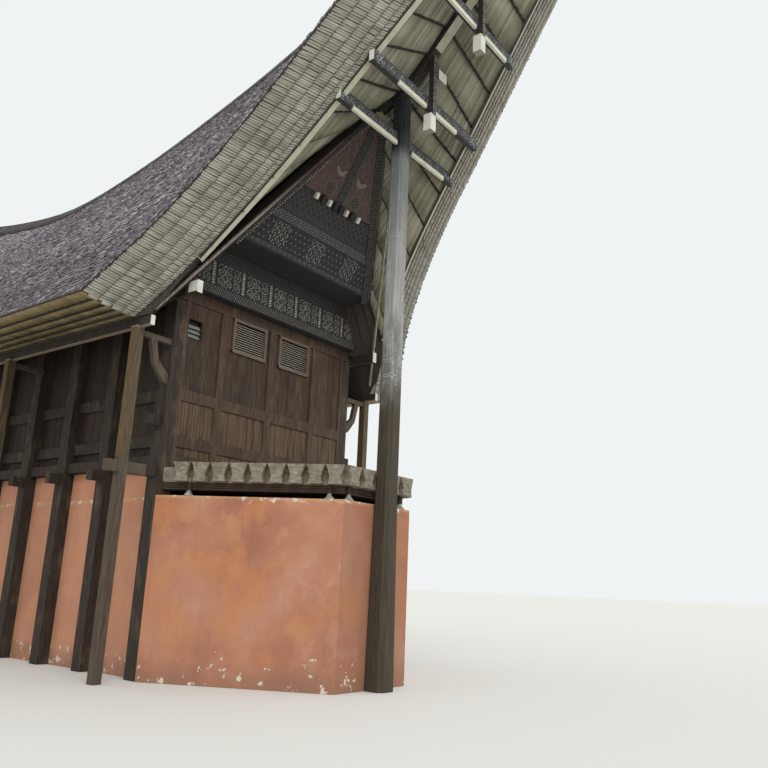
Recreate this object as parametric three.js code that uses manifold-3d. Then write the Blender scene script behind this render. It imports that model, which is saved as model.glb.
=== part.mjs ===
// A tongkonan house: a timber house raised over plastered masonry walls, under a saddle roof of
// layered bamboo whose two ends sweep up into long prows, each end held by a tall front post.
// Millimetres, +Z up, ground at z = 0. The house runs along Y, its front gable faces -Y, and the
// origin is on the ground under the middle of the house.
import * as THREE from "three";
import { mergeVertices } from "three/addons/utils/BufferGeometryUtils.js";
import Module from "manifold-3d";

const wasm = await Module();
wasm.setup();

// Driving dimensions
const GAP = 0.3; // working gap between neighbouring pieces
const LAP = 5; // how far a member runs into the one that it joins
const BAY = 1320; // spacing of the piles along a side
const BAYS = 12;
const PILE_END = (BAY * BAYS) / 2; // the grid of piles from the middle to its end
const HALF_BODY = PILE_END + 325; // front wall's outer plane from the middle
const PILE = { inner: 2150, outer: 2370, half: 125, cornerDepth: 300 };
const WALL_IN = 2080; // half width of the front wall's boards
const MASONRY = { inner: 1990, outer: 2150 - GAP, top: 3380 };
const FLOOR = { bottom: MASONRY.top + GAP, top: 3460 };
const PLATE = { inner: 2280, outer: 2480, bottom: 6280, top: 6490, arm: 2380, reach: 640 };
const EAVE_BEAM = { inner: 2990, outer: 3060, bottom: 5590, top: 5750.4, reach: 274 };
const EAVE_POST = { inner: 2970, outer: 3120, half: 75, count: 5 };
const TIE = { half: 45, bottom: 5470, top: 5560 }; // from the wall's piles to the eave posts
const LOW_TIE = { half: 75, inner: 2620.3, outer: 3320, bottom: 3170, top: 3350 };
const LUG = { reach: 2600, half: 60, bottom: 4050, top: 4230 }; // on the corner piles
const RAILS = [3741, 4549]; // undersides of the two wall rails
const RAIL_HEIGHT = 200;
const HEAD = { bottom: 6350, top: 6549 - GAP };
const KICK_RAIL = { bottom: FLOOR.top + 10, top: FLOOR.top + 120 };
const BATTENS = [-1245, 0, 1245];
const BATTEN_WIDTH = 160;
const FRAME_PROUD = 30; // battens and rails stand this far before the boards
const BOARD = 50;

// Roof, by distance d in front of the front wall's plane (negative over the body)
const EAVE_D = -30;
const TIP_D = 7000;
const VERGE = [
  [EAVE_D, 4190, 5860],
  [750, 3460, 7220],
  [1840, 2910, 8800],
  [3370, 2480, 10730],
  [5200, 1960, 12950],
  [TIP_D, 1480, 15100],
];
const RIDGE = [
  [-5845, 12180],
  [-2945, 11560],
  [0, 11250],
  [2945, 11560],
  [5845, 12180],
  [8245, 12860],
  [10745, 13870],
  [13245, 15250],
  [HALF_BODY + TIP_D, 16550],
];
const FACE_ANGLE = [
  [EAVE_D, 6],
  [750, 25.6],
  [1840, 31],
  [3370, 34.7],
  [TIP_D, 38],
];
const FACE_LENGTH = [
  [EAVE_D, 1046],
  [750, 920],
  [1840, 955],
  [3370, 1010],
  [TIP_D, 950],
];
const COURSES = [0.26, 0.22, 0.19, 0.17, 0.16]; // shares of the edge taken by the bamboo courses
const COURSE_STEP = 35;
const VERGE_BOARD = { drop: 0.13, thick: 60 };
const ROOF_STEPS = 24; // lofted lengths of the roof over the body
const BODY_DEPTH = 1200; // height of the roof's build-up under the ridge over the body
const RIDGE_FLAT = 120; // half width of the flat under the ridge
const RIDGE_BEAM = { half: 100, depth: 180 };
// Slope of the underside between the verge and the middle
const UNDER_SLOPE = [
  [750, 1.45],
  [1840, 1],
  [2900, 0.62],
  [3600, 0.55],
  [TIP_D, 0.55],
];

// Gable, in a plane that leans forward
const LEAN = Math.atan(0.576);
const GABLE = { d: 110, z: 5850, foot: 2880, apex: 5540, width: 80, thick: 240 };
const PANEL = { base: 7530, thick: 50, lap: 60 };
const FRIEZE = { bottom: 6549, top: 7450, foot: 2250, head: 1860, shoulder: 6680, back: -80, front: 200 };
const SOFFIT_THICK = 90; // boards between the frieze and the gable panel

// Masonry bay and the log deck over it
const BAY_WALL = { back: 2376, backD: 16, front: 893, frontD: 2790, thick: 150, top: 2885 };
const DECK = { rimBottom: 2985, logBottom: 3120, logTop: 3430, plateTop: 3360 };
const LOGS = { diagonal: 9, front: 5, depth: 300, proud: 60 };

// Front post and the bars over it
const POST = { footD: 2935, d: 2960, base: 198, knee: 155, kneeZ: 3200, head: 140 };
const BAR = { height: 220, thick: 110 };
const BARS = [
  { d: 2990, half: 1785, bottom: 9520 },
  { d: 3594, half: 1684, bottom: 10080 },
  { d: 4617, half: 1300, bottom: 11300 },
];
// Pendants stand before the outer bars, with a block at the foot
const PENDANT = { half: 50, block: 80, below: 140, blockHeight: 330 };
const SPUR = { reach: 360, d: 3650, half: 55, bottom: 10740, top: 10940 }; // short arm on a pendant

const material = (color, roughness) =>
  new THREE.MeshStandardMaterial({ color, roughness, metalness: 0 });
const SHINGLE = material(0x6b5f62, 0.95);
const DARK_WOOD = material(0x4a3a2c, 0.85);
const GREY_WOOD = material(0x6a6258, 0.9);
const PALE_WOOD = material(0xb9b59c, 0.8);
const CARVED_WOOD = material(0x2c2826, 0.8);
const PLASTER = material(0xb5775b, 0.9);

// Smooth curve through [station, value] pairs
function curveThrough(points, column = 1) {
  const slopes = points.map((_, i) => {
    const a = points[Math.max(i - 1, 0)];
    const b = points[Math.min(i + 1, points.length - 1)];
    return (b[column] - a[column]) / (b[0] - a[0]);
  });
  return (t) => {
    let i = 0;
    while (i < points.length - 2 && t > points[i + 1][0]) i++;
    const h = points[i + 1][0] - points[i][0];
    const u = (t - points[i][0]) / h;
    const v0 = points[i][column];
    const v1 = points[i + 1][column];
    const ease = u * u * (3 - 2 * u);
    const start = u * (1 - u) * (1 - u) * h * slopes[i];
    const end = u * u * (u - 1) * h * slopes[i + 1];
    return v0 + (v1 - v0) * ease + start + end;
  };
}
const vergeX = curveThrough(VERGE, 1);
const vergeZ = curveThrough(VERGE, 2);
const ridgeZ = curveThrough(RIDGE);
const underSlope = curveThrough(UNDER_SLOPE);
const faceAngle = curveThrough(FACE_ANGLE);
const faceLength = curveThrough(FACE_LENGTH);

const solidOf = (geometry) => {
  const g = geometry.clone();
  g.deleteAttribute("normal");
  g.deleteAttribute("uv");
  const merged = mergeVertices(g, 1e-3);
  return new wasm.Manifold(
    new wasm.Mesh({
      numProp: 3,
      vertProperties: merged.attributes.position.array,
      triVerts: new Uint32Array(merged.index.array),
    }),
  );
};
const geometryOf = (solid) => {
  const mesh = solid.getMesh();
  const g = new THREE.BufferGeometry();
  g.setAttribute("position", new THREE.BufferAttribute(mesh.vertProperties, 3));
  g.setIndex(new THREE.BufferAttribute(mesh.triVerts, 1));
  g.computeVertexNormals();
  return g;
};
const join = (list) => geometryOf(list.map(solidOf).reduce((all, one) => all.add(one)));
const cut = (body, tools) =>
  geometryOf(tools.map(solidOf).reduce((left, tool) => left.subtract(tool), solidOf(body)));

// Box between two corners
function block(x0, x1, y0, y1, z0, z1) {
  const g = new THREE.BoxGeometry(Math.abs(x1 - x0), Math.abs(y1 - y0), Math.abs(z1 - z0));
  return g.translate((x0 + x1) / 2, (y0 + y1) / 2, (z0 + z1) / 2);
}
// Box at the front end, by distances in front of the wall's plane
const frontBlock = (x0, x1, d0, d1, z0, z1) => block(x0, x1, atFront(d0), atFront(d1), z0, z1);
const atFront = (d) => -(HALF_BODY + d);

// Outline of [u, v] points, extruded along U x V from an origin
function prism(points, depth, origin, U, V, holes = []) {
  const outline = points.map(([u, v]) => new THREE.Vector2(u, v));
  if (THREE.ShapeUtils.isClockWise(outline)) outline.reverse();
  const shape = new THREE.Shape(outline);
  for (const hole of holes)
    shape.holes.push(new THREE.Path(hole.map(([u, v]) => new THREE.Vector2(u, v))));
  const g = new THREE.ExtrudeGeometry(shape, { depth, bevelEnabled: false });
  const W = new THREE.Vector3().crossVectors(U, V);
  return g.applyMatrix4(new THREE.Matrix4().makeBasis(U, V, W).setPosition(origin));
}
const X = new THREE.Vector3(1, 0, 0);
const Y = new THREE.Vector3(0, 1, 0);
const Z = new THREE.Vector3(0, 0, 1);
// Upright plate facing the front, from distance d forwards
const plate = (points, depth, d, holes) =>
  prism(points, depth, new THREE.Vector3(0, atFront(d), 0), X, Z, holes);
// Level plate, from height z upwards
const slab = (points, depth, z, holes) => prism(points, depth, new THREE.Vector3(0, 0, z), X, Y, holes);
const rectangle = (u0, u1, v0, v1) => [
  [u0, v0],
  [u1, v0],
  [u1, v1],
  [u0, v1],
];

// Closed body through rings of equal point counts
function loft(rings) {
  const count = rings[0].length;
  const positions = rings.flat().flatMap((p) => [p.x, p.y, p.z]);
  const index = [];
  for (let r = 0; r < rings.length - 1; r++)
    for (let i = 0; i < count; i++) {
      const a = r * count + i;
      const b = r * count + ((i + 1) % count);
      index.push(a, b, b + count, a, b + count, a + count);
    }
  const cap = (ring) =>
    THREE.ShapeUtils.triangulateShape(ring.map((p) => new THREE.Vector2(p.x, ringIsLevel ? p.y : p.z)), []);
  const ringIsLevel = rings[0].every((p) => p.z === rings[0][0].z);
  const last = (rings.length - 1) * count;
  const signed = (tri, ring) => {
    const [a, b, c] = tri.map((i) => ring[i]);
    const v = (p) => (ringIsLevel ? p.y : p.z);
    return (b.x - a.x) * (v(c) - v(a)) - (c.x - a.x) * (v(b) - v(a));
  };
  const area = rings[0].reduce((sum, p, i) => {
    const q = rings[0][(i + 1) % count];
    return ringIsLevel ? sum + p.x * q.y - q.x * p.y : sum + p.x * q.z - q.x * p.z;
  }, 0);
  for (const tri of cap(rings[0])) {
    const same = signed(tri, rings[0]) > 0 === area > 0;
    const [a, b, c] = same ? tri : [tri[0], tri[2], tri[1]];
    index.push(a, c, b);
  }
  for (const tri of cap(rings[rings.length - 1])) {
    const same = signed(tri, rings[rings.length - 1]) > 0 === area > 0;
    const [a, b, c] = same ? tri : [tri[0], tri[2], tri[1]];
    index.push(last + a, last + b, last + c);
  }
  const g = new THREE.BufferGeometry();
  g.setAttribute("position", new THREE.Float32BufferAttribute(positions, 3));
  g.setIndex(index);
  return facingOut(g);
}
function facingOut(g) {
  const p = g.attributes.position;
  const at = (i) => new THREE.Vector3().fromBufferAttribute(p, i);
  let volume = 0;
  for (let i = 0; i < g.index.count; i += 3) {
    const [a, b, c] = [0, 1, 2].map((k) => at(g.index.getX(i + k)));
    volume += a.dot(b.cross(c));
  }
  if (volume < 0) flip(g);
  g.computeVertexNormals();
  return g;
}
function flip(g) {
  const index = g.index.array;
  for (let i = 0; i < index.length; i += 3) [index[i + 1], index[i + 2]] = [index[i + 2], index[i + 1]];
}
// The same piece on the other side of the middle line
function mirrored(geometry) {
  const g = geometry.index ? geometry.clone() : mergeVertices(geometry.clone());
  g.scale(-1, 1, 1);
  flip(g);
  return g;
}

// Roof section in a plane across the house, as named points of the right half
function roofSection(d) {
  const edge = { x: vergeX(Math.max(d, EAVE_D)), z: vergeZ(Math.max(d, EAVE_D)) };
  const top = ridgeZ(HALF_BODY + d);
  const run = Math.hypot(edge.x, top - edge.z);
  const up = { x: -edge.x / run, z: (top - edge.z) / run }; // along the slope, towards the ridge
  const inward = { x: -up.z, z: up.x };
  const angle = THREE.MathUtils.degToRad(faceAngle(Math.max(d, EAVE_D)));
  const length = faceLength(Math.max(d, EAVE_D));
  const along = { x: -Math.cos(angle), z: -Math.sin(angle) }; // down the edge face, inwards
  const proud = { x: Math.sin(angle), z: -Math.cos(angle) };
  const move = (p, v, s) => ({ x: p.x + v.x * s, z: p.z + v.z * s });
  const face = [];
  let share = 0;
  for (const width of COURSES.slice(0, -1)) {
    share += width;
    const inner = move(edge, along, share * length);
    face.push(inner, move(inner, proud, COURSE_STEP));
  }
  const foot = move(edge, along, length);
  const drop = VERGE_BOARD.drop * length;
  const offset = drop * (along.x * up.x + along.z * up.z);
  const depth = drop * (along.x * inward.x + along.z * inward.z);
  const boardOuter = move(foot, up, offset);
  const boardInner = move(boardOuter, up, VERGE_BOARD.thick);
  const rise = underSlope(Math.max(d, VERGE[1][0]));
  const under = { x: boardInner.x - 150, z: boardInner.z + 150 * rise };
  const prowUnder = boardInner.z + (boardInner.x - RIDGE_FLAT) * rise;
  const verge = [boardOuter, boardInner, under];
  const body = [
    { x: EAVE_BEAM.inner - LAP, z: EAVE_BEAM.top + GAP },
    { x: PLATE.outer + 20, z: PLATE.top + GAP },
    { x: PLATE.inner - 20, z: PLATE.top + GAP },
  ];
  const w = THREE.MathUtils.clamp((d - EAVE_D) / (VERGE[1][0] - EAVE_D), 0, 1);
  const blend = (a, b) => ({ x: a.x + (b.x - a.x) * w, z: a.z + (b.z - a.z) * w });
  const underRidge = top - BODY_DEPTH + (prowUnder - top + BODY_DEPTH) * w;
  return {
    d,
    edge,
    up,
    inward,
    ridge: top,
    face,
    foot,
    below: body.map((p, i) => blend(p, verge[i])),
    board: [boardOuter, boardInner],
    depth,
    underRidge,
  };
}
const SEAM = GAP / 2;
const CAP = { reach: 260, thick: 45, lift: 1.9, crown: 30 };
function slopeRing(d) {
  const s = roofSection(d);
  const onSlope = { x: CAP.reach, z: s.ridge + (s.up.z / s.up.x) * CAP.reach };
  const points = [
    { x: SEAM, z: s.ridge },
    onSlope,
    s.edge,
    ...s.face,
    s.foot,
    ...s.below,
    { x: RIDGE_FLAT, z: s.underRidge },
    { x: SEAM, z: s.underRidge },
  ];
  return points.map((p) => new THREE.Vector3(p.x, atFront(d), p.z));
}
const stations = (from, to, count) =>
  Array.from({ length: count + 1 }, (_, i) => from + ((to - from) * i) / count);
const PROW_STATIONS = [
  EAVE_D + SEAM,
  ...stations(150, VERGE[1][0], 3),
  ...stations(1050, TIP_D, 16),
];
const bodySlope = () => {
  const half = HALF_BODY + EAVE_D - SEAM;
  const ring = (y) => slopeRing(Math.abs(y) - HALF_BODY).map((p) => p.setY(y));
  return loft(stations(-half, half, ROOF_STEPS).map(ring));
};
const prowSlope = () => {
  const { inner, outer, arm, top, reach } = PLATE;
  const notch = (from, to) => frontBlock(from - 5, outer + 5, -100, to + 5, top - 400, top + GAP);
  const bars = BARS.map((bar) => barBox(bar, bar.half, GAP));
  return cut(loft(PROW_STATIONS.map(slopeRing)), [notch(inner, 0), notch(arm, reach), ...bars]);
};

// Dark capping along the ridge, from tip to tip
function ridgeCap() {
  const ring = (y) => {
    const s = roofSection(Math.abs(y) - HALF_BODY);
    const z = s.ridge + CAP.lift;
    const side = z + (s.up.z / s.up.x) * (CAP.reach - 10);
    const points = [
      [0, z],
      [CAP.reach - 10, side],
      [CAP.reach - 10, side + CAP.thick],
      [0, z + CAP.thick + CAP.crown],
    ];
    return points.map(([x, height]) => new THREE.Vector3(x, y, height));
  };
  const prow = loft([EAVE_D, ...PROW_STATIONS.slice(1)].map((d) => ring(atFront(d))));
  const half = HALF_BODY + EAVE_D;
  const body = loft(stations(-half, half, ROOF_STEPS).map(ring));
  const right = [prow, body, mirrored(prow).rotateZ(Math.PI)];
  return join([...right, ...right.map(mirrored)]);
}

// Corners of the verge board's section at distance d
function boardCorners(d) {
  const s = roofSection(d);
  const down = (p, by) => new THREE.Vector3(p.x + s.inward.x * by, atFront(d), p.z + s.inward.z * by);
  const [outer, inner] = s.board;
  return [down(outer, 2 * GAP), down(inner, 2 * GAP), down(inner, s.depth), down(outer, s.depth)];
}
// A cross bar sits between the verge boards, whose outer sides carry the ends of the bars
const barSeat = (bar) => boardCorners(bar.d)[2].x - 15;
function barBox(bar, half, grow = 0) {
  const { d, bottom } = bar;
  const back = d - BAR.thick - grow;
  return frontBlock(-half - grow, half + grow, back, d + grow, bottom - grow, bottom + BAR.height + grow);
}
function vergeBoard() {
  const board = loft([VERGE[1][0], ...stations(1050, TIP_D, 16)].map(boardCorners));
  const ends = BARS.map((bar) => {
    const { d, half, bottom } = bar;
    return frontBlock(barSeat(bar) + GAP, half, d - BAR.thick, d, bottom, bottom + BAR.height);
  });
  return join([board, ...ends]);
}

// A piece trimmed to the underside of the roof and round the front post
function underRoof(geometry) {
  const right = [prowSlope(), bodySlope()].map((g) => g.translate(0, 0, -2 * GAP));
  const beam = frontBlock(-RIDGE_BEAM.half - 1, RIDGE_BEAM.half + 1, RIDGE_BEAM_START - 1, TIP_D, PANEL.base, 15000);
  const bar = barBox(BARS[0], barSeat(BARS[0]), GAP);
  const trimmed = cut(geometry, [...right, ...right.map(mirrored), frontPost(GAP), beam, bar]);
  const bodies = solidOf(trimmed).decompose();
  return geometryOf(bodies.reduce((a, b) => (a.volume() > b.volume() ? a : b)));
}

// Beam under the ridge of a prow, with the two pendants that carry the outer bars
const RIDGE_BEAM_START = POST.d - POST.head;
function ridgeBeam() {
  const ring = (d) => {
    const top = roofSection(d).underRidge - 2 * GAP;
    const { half, depth } = RIDGE_BEAM;
    const corners = [
      [-half, top],
      [half, top],
      [half, top - depth],
      [-half, top - depth],
    ];
    return corners.map(([x, z]) => new THREE.Vector3(x, atFront(d), z));
  };
  const along = PROW_STATIONS.filter((d) => d > RIDGE_BEAM_START + 50);
  const list = [loft([RIDGE_BEAM_START, ...along].map(ring))];
  for (const bar of BARS.slice(1)) {
    const d0 = bar.d + GAP;
    const foot = bar.bottom - PENDANT.below;
    const { half, block, blockHeight } = PENDANT;
    const top = roofSection(d0).underRidge - RIDGE_BEAM.depth / 2;
    list.push(frontBlock(-half, half, d0, d0 + 2 * half, foot, top));
    list.push(frontBlock(-block, block, d0 - block, d0 + block, foot - blockHeight, foot));
  }
  list.push(frontBlock(0, SPUR.reach, SPUR.d - SPUR.half, SPUR.d + SPUR.half, SPUR.bottom, SPUR.top));
  return join(list);
}
const crossBar = (bar) => barBox(bar, barSeat(bar));

// Tall front post, octagonal and tapering, up to the beam under the ridge
function frontPost(grow = 0) {
  const top = roofSection(POST.d - POST.head).underRidge - RIDGE_BEAM.depth - 3 * GAP;
  const ring = (z, half, d) => {
    const c = half * 0.62;
    const corners = [
      [half, c],
      [c, half],
      [-c, half],
      [-half, c],
      [-half, -c],
      [-c, -half],
      [c, -half],
      [half, -c],
    ];
    return corners.map(([x, y]) => new THREE.Vector3(x, atFront(d) + y, z));
  };
  const kneeD = POST.footD + ((POST.d - POST.footD) * POST.kneeZ) / top;
  return loft([
    ring(-grow, POST.base + grow, POST.footD),
    ring(POST.kneeZ, POST.knee + grow, kneeD),
    ring(top + grow, POST.head + grow, POST.d),
  ]);
}
// The lowest cross bar passes through a notch in the back of the post
const notchedPost = () => cut(frontPost(), [barBox(BARS[0], barSeat(BARS[0]), GAP)]);

// Gable pieces lie in a plane that leans forward
const leanV = new THREE.Vector3(0, -Math.sin(LEAN), Math.cos(LEAN));
const leanW = new THREE.Vector3().crossVectors(X, leanV);
const onGable = (points, thick, behind) => {
  const origin = new THREE.Vector3(0, atFront(GABLE.d), GABLE.z).addScaledVector(leanW, -behind - thick);
  return prism(points, thick, origin, X, leanV);
};
const GABLE_RISE = GABLE.apex / GABLE.foot;
function gableRafters() {
  const reach = Math.hypot(1, GABLE_RISE);
  const wide = GABLE.width;
  const out = (wide * reach) / GABLE_RISE; // widening measured level
  const knee = 1500; // the rafters thin out below this length
  const x = (s) => GABLE.foot - s / GABLE_RISE;
  const right = [
    [x(-100), -100],
    [x(-100) + 70, -100],
    [x(knee) + out, knee],
  ];
  const left = right.map(([u, v]) => [-u, v]).reverse();
  const outline = [...right, [0, GABLE.apex + wide * reach], ...left, [0, GABLE.apex]];
  return onGable(outline, GABLE.thick, 0);
}
function gablePanel() {
  const behind = GABLE.thick + GAP;
  const base = (PANEL.base - GABLE.z - behind * Math.sin(LEAN)) / Math.cos(LEAN);
  const x = (s) => GABLE.foot - s / GABLE_RISE + PANEL.lap;
  const outline = [
    [-x(base), base],
    [x(base), base],
    [0, (GABLE.foot + PANEL.lap) * GABLE_RISE],
  ];
  const panel = onGable(outline, PANEL.thick, behind);
  const baseD = GABLE.d + base * Math.sin(LEAN) - behind * Math.cos(LEAN);
  const section = [
    [FRIEZE.back, FRIEZE.top + GAP],
    [FRIEZE.front, FRIEZE.top + GAP],
    [baseD, PANEL.base],
    [baseD - 30, PANEL.base + 70],
    [FRIEZE.back, FRIEZE.top + SOFFIT_THICK],
  ];
  const start = new THREE.Vector3(FRIEZE.head, atFront(0), 0);
  return join([panel, prism(section, 2 * FRIEZE.head, start, Y.clone().negate(), Z)]);
}
function frieze() {
  const side = (s) => [
    [s * FRIEZE.foot, FRIEZE.bottom],
    [s * FRIEZE.foot, FRIEZE.shoulder],
    [s * FRIEZE.head, FRIEZE.top],
  ];
  return plate([...side(1), ...side(-1).reverse()], FRIEZE.front - FRIEZE.back, FRIEZE.back);
}

// Front wall of boards, with two louvred vents and a small window cut through
const VENTS = [
  [-1040, -180, 5690, 6350],
  [180, 1040, 5690, 6350],
];
const VENT_FRAME = 45;
const WINDOW = [-2060, -1765, 5700, 6045];
function frontWall() {
  const back = -FRAME_PROUD - BOARD - GAP;
  const wall = frontBlock(-WALL_IN + GAP, WALL_IN - GAP, back, back + BOARD, FLOOR.top + GAP, HEAD.top);
  const hole = ([x0, x1, z0, z1]) => frontBlock(x0, x1, back - BOARD, 0, z0, z1);
  return cut(wall, [...VENTS.map(ventHole), WINDOW].map(hole));
}
const ventHole = ([x0, x1, z0, z1]) => [
  x0 + VENT_FRAME,
  x1 - VENT_FRAME,
  z0 + VENT_FRAME,
  z1 - VENT_FRAME,
];
// Stiles, battens and rails of the front wall, between its corner piles
const STILE_DEPTH = 197;
function frontFrame() {
  const list = [];
  const stile = PILE.inner - GAP;
  for (const s of [-1, 1])
    list.push(frontBlock(s * WALL_IN, s * stile, -STILE_DEPTH, 0, BAY_WALL.top + GAP, HEAD.top));
  const face = (x0, x1, z0, z1) => frontBlock(x0, x1, -FRAME_PROUD, 0, z0, z1);
  for (const x of BATTENS)
    list.push(face(x - BATTEN_WIDTH / 2, x + BATTEN_WIDTH / 2, KICK_RAIL.bottom, HEAD.top));
  const rail = (z0, z1) => face(-WALL_IN - LAP, WALL_IN + LAP, z0, z1);
  for (const z of RAILS) list.push(rail(z, z + RAIL_HEIGHT));
  list.push(face(-PLATE.inner + 10, PLATE.inner - 10, HEAD.bottom, HEAD.top));
  list.push(rail(KICK_RAIL.bottom, KICK_RAIL.top));
  return join(list);
}

// Side wall: boards on the masonry, behind a frame whose posts are the piles of the house
const SIDE_END = HALF_BODY - STILE_DEPTH - 3; // ends of the side boards
const sideWall = () =>
  block(2090, PILE.inner - GAP, -SIDE_END, SIDE_END, MASONRY.top + GAP, PLATE.bottom - GAP);
const masonryWall = () => block(MASONRY.inner, MASONRY.outer, -SIDE_END, SIDE_END, 0, MASONRY.top);
const SILL = { outer: 2300, bottom: 3390, top: 3570 };
const FLOOR_BEAM_END = { reach: 2600, half: 80, bottom: 3190, top: 3370 };
function sideFrame() {
  const list = [];
  const pile = (y, half) => {
    list.push(block(PILE.inner, PILE.outer, y - half, y + half, 0, PLATE.bottom + 50));
    list.push(stub(y, FLOOR_BEAM_END));
  };
  const stub = (y, { reach, half, bottom, top }) =>
    block(PILE.outer - 50, reach, y - half, y + half, bottom, top);
  for (const y of stations(-PILE_END, PILE_END, BAYS).slice(1, -1)) pile(y, PILE.half);
  const end = HALF_BODY - PILE.cornerDepth / 2;
  for (const y of [-end, end]) {
    pile(y, PILE.cornerDepth / 2);
    list.push(stub(y, LUG));
  }
  list.push(block(PILE.inner, SILL.outer, -end, end, SILL.bottom, SILL.top));
  for (const z of RAILS) list.push(block(PILE.inner, PILE.inner + 70, -end, end, z, z + RAIL_HEIGHT));
  const { inner, arm, outer, bottom, top, reach } = PLATE;
  list.push(block(inner, outer, -HALF_BODY, HALF_BODY, bottom, top));
  list.push(block(arm, outer, -HALF_BODY - reach, HALF_BODY + reach, bottom, top));
  return join(list);
}

const floorSlab = () =>
  block(-WALL_IN + GAP, WALL_IN - GAP, -HALF_BODY + FRAME_PROUD + GAP, HALF_BODY - FRAME_PROUD - GAP,
    FLOOR.bottom, FLOOR.top);

// Curved brace from a corner pile up to the tie, in x and z
const BRACE_THICK = 90;
const BRACE = [
  [PILE.outer + GAP, 4760],
  [2470, 4800],
  [2680, 5050],
  [2800, 5490],
  [2680, 5490],
  [2590, 5130],
  [PILE.outer + GAP, 4930],
];

// Outer posts under the eaves, their beam, the ties back to the wall and the corner braces
function eaveFrame() {
  const end = HALF_BODY + EAVE_BEAM.reach;
  const { inner, outer, bottom, top } = EAVE_BEAM;
  const list = [block(inner, outer, -end, end, bottom, top)];
  const first = HALF_BODY - EAVE_POST.half;
  const tie = (y, x0, x1, t) => block(x0, x1, y - t.half, y + t.half, t.bottom, t.top);
  for (const y of stations(-first, first, EAVE_POST.count - 1)) {
    const h = EAVE_POST.half;
    list.push(block(EAVE_POST.inner, EAVE_POST.outer, y - h, y + h, 0, bottom + 40));
    list.push(tie(y, PILE.outer + GAP, EAVE_POST.inner + 50, TIE));
  }
  for (const y of [-first, first]) {
    list.push(tie(y, LOW_TIE.inner, LOW_TIE.outer, LOW_TIE));
    const start = new THREE.Vector3(0, y + BRACE_THICK / 2, 0);
    list.push(prism(BRACE, BRACE_THICK, start, X, Z));
  }
  return join(list);
}

// Masonry bay under a prow: three walls and the two legs that meet the side walls
function masonryBay() {
  const { back, backD, front, frontD, thick, top } = BAY_WALL;
  const legD = -190;
  const outer = (s) => [
    [s * MASONRY.outer, legD],
    [s * MASONRY.outer, GAP],
    [s * back, GAP],
    [s * back, backD],
    [s * front, frontD],
  ];
  const run = Math.hypot(back - front, frontD - backD);
  const slope = (back - front) / (frontD - backD);
  const innerX = (d) => back - (thick * run) / (frontD - backD) - (d - backD) * slope;
  const innerD = backD + (back - (thick * run) / (frontD - backD) - MASONRY.inner) / slope;
  const inner = (s) => [
    [s * MASONRY.inner, legD],
    [s * MASONRY.inner, innerD],
    [s * innerX(frontD - thick), frontD - thick],
  ];
  const ring = [...outer(1), ...outer(-1).reverse(), ...inner(-1), ...inner(1).reverse()];
  return cut(slab(ring.map(([x, d]) => [x, atFront(d)]), top, 0), [frontPost(GAP)]);
}

// Deck over the bay: rim beams, a plate, waisted log ends all round and the props on the walls
const LOG_END = [
  [-0.48, 310],
  [0.48, 310],
  [0.35, 205],
  [0.27, 115],
  [0.35, 0],
  [-0.35, 0],
  [-0.27, 115],
  [-0.35, 205],
];
function deckOutline(inset, start = GAP) {
  const { back, backD, front, frontD } = BAY_WALL;
  const slope = (back - front) / (frontD - backD);
  const run = Math.hypot(1, slope);
  const x = (d) => back - inset * run - (d - backD) * slope;
  const d1 = frontD - inset;
  const half = [
    [x(start), start],
    [x(d1), d1],
  ];
  return [...half, ...half.map(([u, v]) => [-u, v]).reverse()].map(([u, v]) => [u, atFront(v)]);
}
function prop(x, d) {
  const foot = BAY_WALL.top + GAP;
  const profile = [
    [85, foot],
    [78, foot + 15],
    [40, foot + 60],
    [32, foot + 90],
    [30, DECK.logBottom + 60],
  ];
  const ring = ([r, z]) =>
    Array.from({ length: 12 }, (_, i) => {
      const a = (i / 12) * 2 * Math.PI;
      return new THREE.Vector3(x + r * Math.cos(a), atFront(d) + r * Math.sin(a), z);
    });
  return loft(profile.map(ring));
}
function deck() {
  const { back, backD, front, frontD } = BAY_WALL;
  const list = [
    slab(deckOutline(100), DECK.plateTop - DECK.logBottom - 20, DECK.logBottom + 20),
    slab(deckOutline(110), DECK.logBottom + 40 - DECK.rimBottom, DECK.rimBottom, [deckOutline(330, 200)]),
  ];
  const row = (x0, d0, x1, d1, count) => {
    const U = new THREE.Vector3(x1 - x0, -(d1 - d0), 0);
    const pitch = U.length() / count;
    U.normalize();
    const outward = new THREE.Vector3().crossVectors(U, Z);
    for (let i = 0; i < count; i++) {
      const start = new THREE.Vector3(x0, atFront(d0), DECK.logBottom)
        .addScaledVector(U, pitch * (i + 0.5))
        .addScaledVector(outward, LOGS.proud - LOGS.depth);
      list.push(prism(LOG_END.map(([u, v]) => [u * pitch, v]), LOGS.depth, start, U, Z));
    }
  };
  row(-back + 120, backD + 225, -front, frontD, LOGS.diagonal);
  row(-front, frontD, front, frontD, LOGS.front);
  row(front, frontD, back - 120, backD + 225, LOGS.diagonal);
  const along = (t) => [back + (front - back) * t - 60, backD + (frontD - backD) * t - 40];
  for (const t of [0.17, 0.92]) {
    const [x, d] = along(t);
    for (const s of [-1, 1]) list.push(prop(s * x, d));
  }
  for (const s of [-1, 1]) list.push(prop(s * 700, frontD - 75));
  return cut(join(list), [frontPost(GAP)]);
}

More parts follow.
